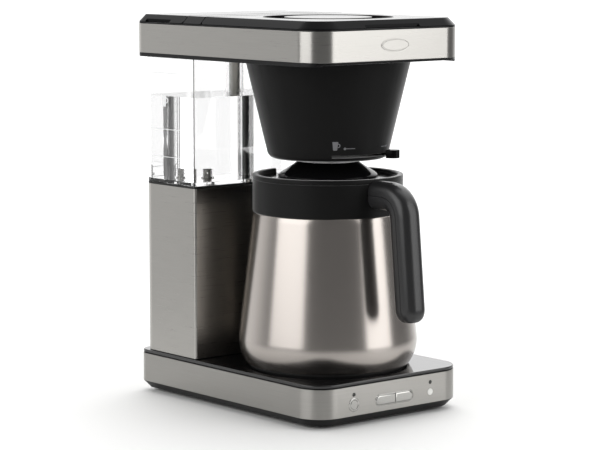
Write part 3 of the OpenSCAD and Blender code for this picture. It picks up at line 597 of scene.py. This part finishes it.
SLOT_FINISH = {
    "rubber_foot": black_rubber, "black_abs": satin_black_abs, "brushed_steel": brushed_stainless_wrap,
    "carafe_steel": turned_stainless_carafe, "liner_steel": drawn_stainless, "boiler_steel": drawn_stainless,
    "badge_steel": brushed_stainless_wrap, "gloss_black": gloss_black_abs,
    "matte_black": matt_black_polypropylene, "handle_black": soft_touch_grip, "chrome": chrome_plate,
    "zinc_steel": zinc_plate, "clear_copolyester": clear_copolyester, "white_lens": milky_lens,
    "dark_lens": smoked_lens, "rubber_seal": black_rubber, "silicone": clear_silicone,
    "white_nylon": white_nylon, "circuit_board": solder_mask, "brass": rolled_brass,
}


def material_of(maker):
    """The material that a maker gives, made once."""
    if maker.__name__ not in MADE:
        MADE[maker.__name__] = maker()
    return MADE[maker.__name__]


def finish_of(slot):
    return material_of(SLOT_FINISH[slot])


BODY_OF = {n: body for body, members in frame["record"]["behaviour"]["bodies"].items() for n in members}
SLOT_OF = {p["node"]: p["material_slot"] for p in frame["record"]["subparts"]}


def soften_into_place(node, name, width, segments=2, outer="MITER_ARC"):
    """Softened copy of a CAD node, in that node's own place, body and finish."""
    piece = softened(node, name, width, segments, outer)
    return place(piece, BODY_OF[node], SLOT_OF[node], finish_of(SLOT_OF[node]), node)


# ---------- pieces ----------

class COFFEE_OT_steel_wraps(bpy.types.Operator):
    """Three brushed wraps, around the base, the column and the head, with their cut edges eased."""

    bl_idname = "coffee.steel_wraps"
    bl_label = "Steel wraps"

    def execute(self, context):
        for node, name in (
            ("base_band", "base_wrap"), ("column_shell", "column_wrap"), ("head_band", "head_wrap"),
        ):
            piece = soften_into_place(node, name, sizes().steel_round)
            if node == "base_band":
                # The base wrap takes the darker copy of the steel, whose extra darkness is painted shade.
                piece.data.materials[0] = material_of(stainless_base_painted_shade)
        return {"FINISHED"}


class COFFEE_OT_moulded_body(bpy.types.Operator):
    """Bottom tray, top plate, tank seal, and the underside and bezel of the head, with rounded edges."""

    bl_idname = "coffee.moulded_body"
    bl_label = "Moulded body"

    def execute(self, context):
        width = sizes().edge_round
        for node, name in (
            ("base_tray", "bottom_tray"), ("base_plate", "top_plate"), ("tank_gasket", "tank_seal"),
            ("head_frame", "head_underside"), ("head_deck", "head_bezel"),
        ):
            piece = soften_into_place(node, name, width * 0.6)
            if node == "base_plate":
                piece.data.materials[0] = material_of(polished_black_plate)
        return {"FINISHED"}


class COFFEE_OT_panel_controls(bpy.types.Operator):
    """Power button, the pair of brew buttons, the milky lamp and the two small lenses."""

    bl_idname = "coffee.panel_controls"
    bl_label = "Panel controls"

    def execute(self, context):
        for node in ("brew_button_left", "brew_button_right"):
            cap = soften_into_place(node, node + "_cap", 0)
            front = low(node).y
            pick(cap, "EDGE", lambda a, b: a.y < front + 1e-6 and b.y < front + 1e-6)
            bpy.ops.mesh.bevel(offset=1.1 * MM, segments=5, affect="EDGES", clamp_overlap=False)
            leave_edit()
            smooth(cap)
        lowest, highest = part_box("power_button")
        middle, size = (lowest + highest) / 2, highest - lowest
        cap = rod("power_button_cap", size.x / 2, (middle.x, lowest.y, middle.z), size.y, "Y")
        round_edges(cap, 0.7 * MM, 4)
        pick(cap, "FACE", lambda centre, normal: normal.y < -0.99 and centre.y < lowest.y + 1e-6)
        for width, depth in ((0.8, 0), (0.3, 0.4), (0.35, 0), (0.3, -0.4)):
            bpy.ops.mesh.inset(thickness=width * MM, depth=-depth * MM)
        leave_edit()
        smooth(cap)
        place(cap, "power_button", "chrome", finish_of("chrome"), "power_button")
        for node, name in (("clean_light", "lamp_lens"), ("led_lenses", "small_lenses")):
            soften_into_place(node, name, 0.2 * MM)
        return {"FINISHED"}


class COFFEE_OT_top_lids(bpy.types.Operator):
    """Tank lid, front lid with its disc, and the bridge between them, with eased edges."""

    bl_idname = "coffee.top_lids"
    bl_label = "Top lids"

    def execute(self, context):
        for node, name in (
            ("tank_lid", "tank_cover"), ("front_lid", "front_cover"), ("front_lid_cap", "front_cover_disc"),
            ("head_bridge", "top_bridge"),
        ):
            soften_into_place(node, name, sizes().edge_round * 0.7, outer="MITER_SHARP")
        return {"FINISHED"}


class COFFEE_OT_oval_badge(bpy.types.Operator):
    """Plain oval plate on the head, with a sunk ring inside its edge."""

    bl_idname = "coffee.oval_badge"
    bl_label = "Oval badge"

    def execute(self, context):
        lowest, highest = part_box("head_badge")
        middle = (lowest + highest) / 2
        half = (highest - lowest) / 2
        plate = rod("badge_plate", 1, (middle.x, lowest.y, middle.z), half.y * 2, "Y", 96)
        edit_all(plate)
        bpy.ops.transform.resize(
            value=(half.x, 1, half.z * 1.03), center_override=(middle.x, middle.y, middle.z)
        )
        leave_edit()
        pick(plate, "FACE", lambda centre, normal: normal.y < -0.9)
        for depth, width in ((0, 0.45), (0.3, 0.2), (0, 0.45), (-0.3, 0.2)):
            bpy.ops.mesh.inset(thickness=width * MM, depth=-depth * MM)
        leave_edit()
        smooth(plate)
        place(plate, "machine", "badge_steel", finish_of("badge_steel"), "head_badge")
        return {"FINISHED"}


class COFFEE_OT_water_tank(bpy.types.Operator):
    """Clear tank with eased edges, and the water in it, which stays a hair clear of its walls."""

    bl_idname = "coffee.water_tank"
    bl_label = "Water tank"

    def execute(self, context):
        soften_into_place("water_tank", "clear_tank", 0.4 * MM)
        lowest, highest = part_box("column_shell")
        wall, floor_z = 2.55 * MM, high("tank_gasket").z + 3 * MM
        inner = 9.5 * MM
        water = rounded_block(
            "tank_water", (lowest.x + wall, lowest.y + wall, floor_z + 0.05 * MM),
            (highest.x - wall, highest.y - wall, sizes().water_level), 0.6 * MM, inner,
        )
        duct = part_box("riser_pipe")
        middle = (duct[0] + duct[1]) / 2
        cut_with(water, rod("duct_cutter", 9.05 * MM, (middle.x, middle.y, 0.1), 0.3))
        foot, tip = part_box("tank_strainer")
        centre = (foot + tip) / 2
        for radius, top_z in ((5.05 * MM, tip.z), (7.05 * MM, foot.z + 1.25 * MM)):
            cut_with(water, rod("strainer_cutter", radius, (centre.x, centre.y, 0.1), top_z - 0.1))
        smooth(water)
        place(water, "machine", "clear_copolyester", material_of(still_water))
        return {"FINISHED"}


class COFFEE_OT_tank_scale(bpy.types.Operator):
    """White printed lines and a small cup on the left wall of the tank."""

    bl_idname = "coffee.tank_scale"
    bl_label = "Tank scale"

    def execute(self, context):
        side = low("column_shell").x
        skin = 0.06 * MM
        bars = []
        for line_z in (0.2976, 0.2464, 0.2212):
            bar = block("bar", (side - skin, 0.0790, line_z - 0.3 * MM), (side, 0.1240, line_z + 0.3 * MM))
            round_edges(bar, 0.02 * MM, 1)
            bars.append(bar)
        bars.append(cup_mark((side, 0.1035, 0.2722), (0, -1, 0), (-1, 0, 0), 10.5 * MM, skin))
        scale = join_all(bars, "tank_scale")
        place(scale, "machine", "clear_copolyester", material_of(white_ink))
        return {"FINISHED"}


def cup_mark(centre, across, outward, height, skin):
    """Small cup in flat ink: a tapered bowl with a round handle, facing outward at a point."""
    bowl = block("bowl", (-0.36, 0, -0.5), (0.3, 1, 0.5))
    pick(bowl, "VERT", lambda co: co.z < 0)
    bpy.ops.transform.resize(value=(0.72, 1, 1), center_override=(-0.03, 0.5, -0.5))
    leave_edit()
    pick(bowl, "EDGE", lambda a, b: abs(a.y - b.y) > 0.5 and a.z < 0)
    bpy.ops.mesh.bevel(offset=0.1, segments=3, affect="EDGES")
    leave_edit()
    ring = rod("ring", 0.26, (0.3, 0, 0.05), 1, "Y", 24)
    cut_with(ring, rod("ring_hole", 0.15, (0.3, -1, 0.05), 3, "Y", 24))
    cut_with(ring, block("ring_half", (-0.4, -1, -1), (0.27, 2, 1)))
    cup = join_all([bowl, ring], "cup")
    across, outward, up = Vector(across), Vector(outward), Vector((0, 0, 1))
    for vertex in cup.data.vertices:
        x, y, z = vertex.co
        vertex.co = Vector(centre) + across * x * height + outward * (1 - y) * skin + up * z * height
    edit_all(cup)
    bpy.ops.mesh.normals_make_consistent(inside=False)
    leave_edit()
    return cup


def basket_radius(z):
    """Radius of the basket's outer skin at a height."""
    top_r, low_r = 73.5 * MM, 53 * MM
    return low_r + (top_r - low_r) * (z - BASKET_LOW_Z) / (HEAD_Z - BASKET_LOW_Z)


def wrap_on_basket(mark, angle, height, skin):
    """Bends a flat mark, drawn in x and z about the origin, onto the basket at an angle from the front."""
    for vertex in mark.data.vertices:
        x, y, z = vertex.co
        radius = basket_radius(height + z) + (skin if y < 0 else -skin)
        turn = angle + x / basket_radius(height)
        vertex.co = AXIS + Vector((math.sin(turn) * radius, -math.cos(turn) * radius, height + z))
    edit_all(mark)
    bpy.ops.mesh.normals_make_consistent(inside=False)
    leave_edit()
    return mark


def flat_bar(name, x0, x1, z0, z1):
    """Thin bar in x and z, cut along its length so that it can bend."""
    bar = block(name, (x0, -0.5 * MM, z0), (x1, 0.5 * MM, z1))
    edit_all(bar)
    bpy.ops.mesh.subdivide(number_cuts=5)
    leave_edit()
    return bar


class COFFEE_OT_brew_basket(bpy.types.Operator):
    """Cone basket with its flange, drip ribs inside, and the lever that shuts its outlet."""

    bl_idname = "coffee.brew_basket"
    bl_label = "Brew basket"

    def execute(self, context):
        soften_into_place("brew_basket", "basket_cone", sizes().edge_round * 0.8)
        soften_into_place("selector_lever", "lever_arm", 0.5 * MM, 3)
        ribs = []
        count = sizes().basket_ribs
        foot_z, top_z, wall = BASKET_LOW_Z + 12 * MM, HEAD_Z - 22 * MM, 2.3 * MM
        for index in range(count):
            rib = block("rib", (-0.7 * MM, -1.2 * MM, foot_z), (0.7 * MM, 1.2 * MM, top_z))
            pick(rib, "EDGE", lambda a, b: is_upright(a, b) and a.y > 0)
            bpy.ops.mesh.bevel(offset=0.5 * MM, segments=2, affect="EDGES")
            leave_edit()
            turn = 2 * math.pi * index / count
            for vertex in rib.data.vertices:
                x, y, z = vertex.co
                radius = basket_radius(z) - wall - y - 0.6 * MM
                vertex.co = AXIS + Vector((
                    math.sin(turn) * radius + math.cos(turn) * x,
                    -math.cos(turn) * radius + math.sin(turn) * x, z,
                ))
            edit_all(rib)
            bpy.ops.mesh.normals_make_consistent(inside=False)
            leave_edit()
            ribs.append(rib)
        place(join_all(ribs, "basket_ribs"), "basket", "matte_black", finish_of("matte_black"))
        return {"FINISHED"}


class COFFEE_OT_basket_print(bpy.types.Operator):
    """Grey cup and arrows printed on the basket over the lever's slot."""

    bl_idname = "coffee.basket_print"
    bl_label = "Basket print"

    def execute(self, context):
        skin = 0.12 * MM
        mark_z = BASKET_LOW_Z + 14.6 * MM
        arrow_z = BASKET_LOW_Z + 12.2 * MM
        cup = cup_mark((0, 0, 0), (1, 0, 0), (0, -1, 0), 7.6 * MM, 1 * MM)
        for vertex in cup.data.vertices:
            vertex.co.y = -1 if vertex.co.y < -0.5 * MM else 1
        marks = [wrap_on_basket(cup, math.radians(-34.0), mark_z, skin)]
        for angle, length, dot_side in ((-20.5, 9.5, -1), (21.0, 9.5, 1)):
            half = length / 2 * MM
            line = flat_bar("line", -half, half, -0.3 * MM, 0.3 * MM)
            dot = rod("dot", 1.15 * MM, (dot_side * half, -0.5 * MM, 0), 1 * MM, "Y", 20)
            arrow = join_all([line, dot], "arrow")
            marks.append(wrap_on_basket(arrow, math.radians(angle), arrow_z, skin))
        place(join_all(marks, "basket_print"), "basket", "matte_black", material_of(grey_ink))
        return {"FINISHED"}


class COFFEE_OT_carafe_body(bpy.types.Operator):
    """Steel body, turned in one sweep from the foot over the belly to the collar."""

    bl_idname = "coffee.carafe_body"
    bl_label = "Carafe body"

    def execute(self, context):
        belly_r = (BODY_HIGH.x - BODY_LOW.x) / 2
        foot_z, top_z = BODY_LOW.z, BODY_HIGH.z
        belly_round = sizes().belly_round
        centre = (belly_r - belly_round, foot_z + 20.8 * MM)
        rise, run = top_z - centre[1], COLLAR_R - centre[0]
        lean = math.degrees(math.asin(belly_round / math.hypot(rise, run)) - math.atan2(run, rise))
        foot_angle = -math.degrees(math.asin((centre[1] - foot_z) / belly_round))
        belly = arc(centre, belly_round, foot_angle, lean, 28)
        side = [
            (belly[-1][0] + (COLLAR_R - belly[-1][0]) * t, belly[-1][1] + (top_z - belly[-1][1]) * t)
            for t in (0.1, 0.25, 0.4, 0.55, 0.7, 0.85, 0.95, 0.993)
        ]
        lip = [(COLLAR_R - 0.25 * MM, top_z - 0.15 * MM), (COLLAR_R - 0.8 * MM, top_z)]
        foot = [(belly[0][0] - 6 * MM, foot_z), (belly[0][0] - 1.5 * MM, foot_z)]
        outside = foot[1:] + belly + side + lip
        inside = [(r - 0.8 * MM, z + (0.8 * MM if z < foot_z + 1 * MM else 0)) for r, z in reversed(outside)]
        body = turned("carafe_body", outside + inside, AXIS, 192)
        smooth(body, 50, weighted=False)
        place(body, "carafe", "carafe_steel", finish_of("carafe_steel"), "carafe_shell")
        return {"FINISHED"}


class COFFEE_OT_carafe_collar(bpy.types.Operator):
    """Moulded collar with a fine joint under its rim, a step for the lid, and the gap of the spout."""

    bl_idname = "coffee.carafe_collar"
    bl_label = "Carafe collar"

    def execute(self, context):
        r, z0, rim = COLLAR_R, low("carafe_collar").z, RIM_Z
        mouth = r - 11 * MM
        step = mouth + 6 * MM
        mm = lambda *pairs: [(r_ + dr * MM, z_ + dz * MM) for r_, dr, z_, dz in pairs]
        rings = mm(
            (r, -5, z0, 6), (r, -5, z0, 0), (r, -0.5, z0, 0), (r, 0, z0, 0.5), (r, 0, z0, 14),
            (r, 0, rim, -4.7), (r, -0.15, rim, -4.45), (r, -0.5, rim, -4.4), (r, -0.5, rim, -3.9),
            (r, -0.15, rim, -3.85), (r, 0, rim, -3.6), (r, 0, rim, -1.2), (r, -0.35, rim, -0.4),
            (r, -1.1, rim, -0.03), (r, -2.2, rim, 0), (step, 1.5, rim, 0), (step, 0.5, rim, -0.3),
            (step, 0, rim, -1.0), (step, 0, rim, -4.5), (step, -0.4, rim, -5), (mouth, 1, rim, -5),
            (mouth, 0.2, rim, -5.3), (mouth, 0, rim, -6), (mouth, 0, z0, 6.6), (mouth, 0.6, z0, 6),
        )
        collar = turned("carafe_neck", rings, AXIS, 192)
        width = 18 * MM
        notch = block(
            "notch", (AXIS.x - width / 2, AXIS.y + mouth - 3 * MM, rim - 4.95 * MM),
            (AXIS.x + width / 2, AXIS.y + mouth + 17 * MM, rim + 5 * MM),
        )
        pick(notch, "EDGE", lambda a, b: abs(a.y - b.y) > 5 * MM and a.z < rim)
        bpy.ops.mesh.bevel(offset=2.5 * MM, segments=5, affect="EDGES")
        leave_edit()
        cut_with(collar, notch)
        smooth(collar, 40)
        place(collar, "carafe", "matte_black", finish_of("matte_black"), "carafe_collar")
        return {"FINISHED"}


class COFFEE_OT_carafe_lid(bpy.types.Operator):
    """Domed lid with a dished top, a rounded shoulder over its sunk rim, a hole, and a gap at the spout."""

    bl_idname = "coffee.carafe_lid"
    bl_label = "Carafe lid"

    def execute(self, context):
        rim = RIM_Z
        top = high("carafe_lid").z
        plate_r = (high("carafe_lid").x - low("carafe_lid").x) / 2
        mm = lambda pairs: [(r_ * MM, base + dz * MM) for r_, base, dz in pairs]
        p = plate_r / MM
        rings = mm((
            (5, top, -2.8), (5, top, -1.6), (5.5, top, -1.1), (8, top, -0.9), (22, top, -0.9),
            (23.6, top, -0.7), (24.6, top, -0.15), (25.6, top, 0), (26.8, top, -0.15), (28.2, top, -0.9),
            (30, top, -2.1),
            (34, top, -4.7), (39, top, -7.8), (42, top, -9.7), (43.5, rim, 0.15), (44.3, rim, -0.7),
            (44.6, rim, -1.6), (44.4, rim, -2.6), (44, rim, -3.3), (44.6, rim, -3.8), (46, rim, -3.9),
            (p - 1.2, rim, -3.9), (p - 0.3, rim, -4), (p, rim, -4.3), (p - 0.3, rim, -4.8), (52.3, rim, -4.8),
            (52.3, rim, -23.5), (51.8, rim, -24), (49.8, rim, -24), (49.3, rim, -23.5), (49.3, rim, -5.8),
            (43.5, rim, -5.8), (42.5, rim, -3.4), (34, rim, 2.2), (25, top, -2.8),
        ))
        lid = turned("carafe_stopper", rings, AXIS, 160)
        gap = block(
            "gap", (AXIS.x - 8 * MM, AXIS.y + 50.3 * MM, rim - 30 * MM),
            (AXIS.x + 8 * MM, AXIS.y + 70 * MM, rim + 10 * MM),
        )
        cut_with(lid, gap)
        smooth(lid, 35)
        place(lid, "carafe_lid", "gloss_black", finish_of("gloss_black"), "carafe_lid")
        return {"FINISHED"}


class COFFEE_OT_carafe_handle(bpy.types.Operator):
    """Grip in one sweep: a straight arm, a tight bend, a leaning grip and a blunt end, with a joint line."""

    bl_idname = "coffee.carafe_handle"
    bl_label = "Carafe handle"

    def execute(self, context):
        lowest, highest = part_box("carafe_handle")
        wide = highest.x - lowest.x
        thick = 25 * MM
        corner = 9 * MM
        bend_r = 18.5 * MM
        lean = sizes().grip_lean
        mid_z = highest.z - thick / 2
        reach = AXIS.y - lowest.y
        end_z = lowest.z
        length = (mid_z - bend_r * (1 - math.sin(lean)) - thick / 2 - end_z) / math.cos(lean)
        bend_y = AXIS.y - (reach - thick / 2 - bend_r * math.cos(lean) - length * math.sin(lean))
        start_y = AXIS.y - COLLAR_R + 4 * MM
        half = thick / 2 - 0.1 * MM
        section = rounded_block(
            "grip", (-wide / 2, -half, 0), (wide / 2, half, 1 * MM), corner, corner, 8
        )
        pick(section, "FACE", lambda centre, normal: normal.z > -0.5)
        bpy.ops.mesh.delete(type="FACE")
        bpy.ops.mesh.select_all(action="SELECT")
        bpy.ops.mesh.delete(type="ONLY_FACE")
        leave_edit()
        pick(section, "EDGE", lambda a, b: abs(a.x - b.x) < 1e-6 and abs(a.y - b.y) > 1 * MM)
        bpy.ops.mesh.subdivide(number_cuts=3)
        leave_edit()
        for vertex in section.data.vertices:
            x, y = vertex.co.xy
            if abs(x) > wide / 2 - 1e-6 and abs(y) < thick / 2 - corner - 0.5 * MM:
                x, y = (x * (1 - 0.9 * MM / wide), 0) if abs(y) < 1e-6 else (x, math.copysign(0.3 * MM, y))
            vertex.co = (x, start_y, mid_z + y)
        edit_all(section)
        for step in (4 * MM, start_y - bend_y - 4 * MM):
            bpy.ops.mesh.extrude_region_move(TRANSFORM_OT_translate={"value": (0, -step, 0)})
        bpy.ops.mesh.spin(
            steps=14, angle=-(math.pi / 2 - lean), center=(0, bend_y, mid_z - bend_r), axis=(1, 0, 0)
        )
        down = Vector((0, -math.sin(lean), -math.cos(lean)))
        at = Vector((0, bend_y - bend_r * math.cos(lean), mid_z - bend_r + bend_r * math.sin(lean)))
        shrink = 1.0
        run = [(length * 0.3, 1.0), (length * 0.4, 1.0), (length * 0.3 - 0.5 * MM, 1.0)]
        depth = thick / 2 + 0.3 * MM
        done = 0.0
        for i in range(1, 13):
            t = math.radians(7.5 * i)
            along = depth * math.sin(t) ** 0.9
            run.append((along - done, max(math.cos(t) ** 0.62, 0.02)))
            done = along
        for step, share in run:
            bpy.ops.mesh.extrude_region_move(TRANSFORM_OT_translate={"value": down * step})
            at += down * step
            bpy.ops.transform.resize(value=(share / shrink,) * 3, center_override=at)
            shrink = share
        bpy.ops.mesh.edge_face_add()
        leave_edit()
        pick(section, "EDGE", lambda a, b: abs(a.y - start_y) < 1e-7 and abs(b.y - start_y) < 1e-7)
        bpy.ops.mesh.edge_face_add()
        bpy.ops.mesh.select_all(action="SELECT")
        bpy.ops.mesh.remove_doubles(threshold=0.001 * MM)
        bpy.ops.mesh.normals_make_consistent(inside=False)
        leave_edit()
        section.name = section.data.name = "carafe_grip"
        smooth(section, 50, weighted=False)
        place(section, "carafe", "handle_black", finish_of("handle_black"), "carafe_handle")
        return {"FINISHED"}


class COFFEE_OT_frame_finishes(bpy.types.Operator):
    """Finishes for the nodes that are shown as they are: feet, hoses, boiler, screws, seals and boards."""

    bl_idname = "coffee.frame_finishes"
    bl_label = "Frame finishes"

    def execute(self, context):
        for node, piece in frame["nodes"].items():
            piece.data.materials.clear()
            piece.data.materials.append(finish_of(SLOT_OF[node]))
            take(piece)
            bpy.ops.object.shade_smooth_by_angle(angle=math.radians(30))
        return {"FINISHED"}


# ---------- studio ----------

def softbox(name, azimuth, distance, height, size, radiance):
    """Rectangular lamp that faces the machine. Azimuth is counted from the front towards the left side."""
    turn = math.radians(azimuth)
    spot = Vector((-math.sin(turn) * distance, -math.cos(turn) * distance, height))
    clear_selection()
    bpy.ops.object.light_add(type="AREA", location=spot)
    lamp = bpy.context.object
    lamp.name = name
    lamp.rotation_euler = (Vector((0, 0, 0.2)) - spot).to_track_quat("-Z", "Y").to_euler()
    lamp.data.shape = "RECTANGLE"
    lamp.data.size, lamp.data.size_y = size
    lamp.data.energy = radiance * math.pi * size[0] * size[1]
    return lamp


class COFFEE_OT_studio(bpy.types.Operator):
    """Pale floor, two softboxes, a bright surround and the camera."""

    bl_idname = "coffee.studio"
    bl_label = "Studio"

    def execute(self, context):
        clear_selection()
        bpy.ops.mesh.primitive_circle_add(vertices=96, radius=0.45, fill_type="NGON", location=(0, 0, 0))
        floor = name_piece("studio_floor")
        paper = start_material("studio_paper", tuple(colours().floor), roughness=0.9)[0]
        floor.data.materials.append(paper)

        softbox("left_softbox", 95, 1.7, 0.75, (1.65, 1.5), 2.5)
        softbox("right_softbox", -28, 1.7, 0.7, (1.25, 1.7), 2.6)
        self.make_surround()

        down, round_from_front = math.radians(7.18), math.radians(39.97)
        bpy.ops.object.camera_add(
            location=(-1.3563, -1.6046, 0.4261), rotation=(math.pi / 2 - down, 0, -round_from_front)
        )
        camera = bpy.context.object
        camera.name = "studio_camera"
        camera.data.lens = 140.4
        camera.data.sensor_width = 36
        bpy.context.scene.camera = camera
        bpy.context.scene.view_settings.view_transform = "Standard"
        return {"FINISHED"}

    def make_surround(self):
        """Surround: white behind and overhead, and a darker room in front for the steel to reflect."""
        world = bpy.data.worlds.new("studio_surround")
        bpy.context.scene.world = world
        world.use_nodes = True
        tree = world.node_tree
        sky = tree.nodes["Background"]
        direction = add_node(tree, "ShaderNodeTexCoord").outputs["Generated"]
        glows = []
        for towards, start, end, faint, bright in (
            ((0.342, 0.94, 0), 0.1, 0.85, 0.2, 1.2),  # behind the machine
            ((0.45, 0.3, 0.84), 0.55, 0.9, 0.0, 1.7),  # over it
        ):
            facing = add_node(
                tree, "ShaderNodeVectorMath", {"operation": "DOT_PRODUCT"}, {0: direction}
            )
            facing.inputs[1].default_value = towards
            glows.append(add_node(
                tree, "ShaderNodeMapRange",
                {
                    "interpolation_type": "SMOOTHSTEP", "From Min": start, "From Max": end,
                    "To Min": faint, "To Max": bright,
                },
                {"Value": facing.outputs["Value"]},
            ).outputs[0])
        glow = add_node(tree, "ShaderNodeMath", {"operation": "ADD"}, {0: glows[0], 1: glows[1]})
        seen = add_node(tree, "ShaderNodeLightPath").outputs["Is Camera Ray"]
        mix = add_node(
            tree, "ShaderNodeMix", {"data_type": "FLOAT"}, {0: seen, 2: glow.outputs[0]}
        )
        mix.inputs[3].default_value = 1.3
        tree.links.new(mix.outputs[0], sky.inputs["Strength"])
        sky.inputs["Color"].default_value = (1, 1, 1, 1)


PIECES = (
    COFFEE_OT_frame_finishes, COFFEE_OT_steel_wraps, COFFEE_OT_moulded_body, COFFEE_OT_panel_controls,
    COFFEE_OT_top_lids, COFFEE_OT_oval_badge, COFFEE_OT_water_tank, COFFEE_OT_tank_scale,
    COFFEE_OT_brew_basket, COFFEE_OT_basket_print, COFFEE_OT_carafe_body, COFFEE_OT_carafe_collar,
    COFFEE_OT_carafe_lid, COFFEE_OT_carafe_handle, COFFEE_OT_studio,
)


class COFFEE_PT_panel(bpy.types.Panel):
    """Lists the sizes, the colours and the pieces."""

    bl_idname = "COFFEE_PT_panel"
    bl_label = "Coffee maker"
    bl_space_type = "VIEW_3D"
    bl_region_type = "UI"
    bl_category = "Coffee maker"

    def draw(self, context):
        for group in (context.scene.coffee_sizes, context.scene.coffee_colours):
            for key in group.__annotations__:
                self.layout.prop(group, key)
        for piece in PIECES:
            self.layout.operator(piece.bl_idname)


CLASSES = (COFFEE_PG_sizes, COFFEE_PG_colours, *PIECES, COFFEE_PT_panel)


def register():
    for item in CLASSES:
        bpy.utils.register_class(item)
    bpy.types.Scene.coffee_sizes = PointerProperty(type=COFFEE_PG_sizes)
    bpy.types.Scene.coffee_colours = PointerProperty(type=COFFEE_PG_colours)


def unregister():
    del bpy.types.Scene.coffee_colours
    del bpy.types.Scene.coffee_sizes
    for item in reversed(CLASSES):
        bpy.utils.unregister_class(item)


def main():
    register()
    for piece in PIECES:
        group, verb = piece.bl_idname.split(".")
        getattr(getattr(bpy.ops, group), verb)()
    clear_selection()


if __name__ == "__main__":
    main()
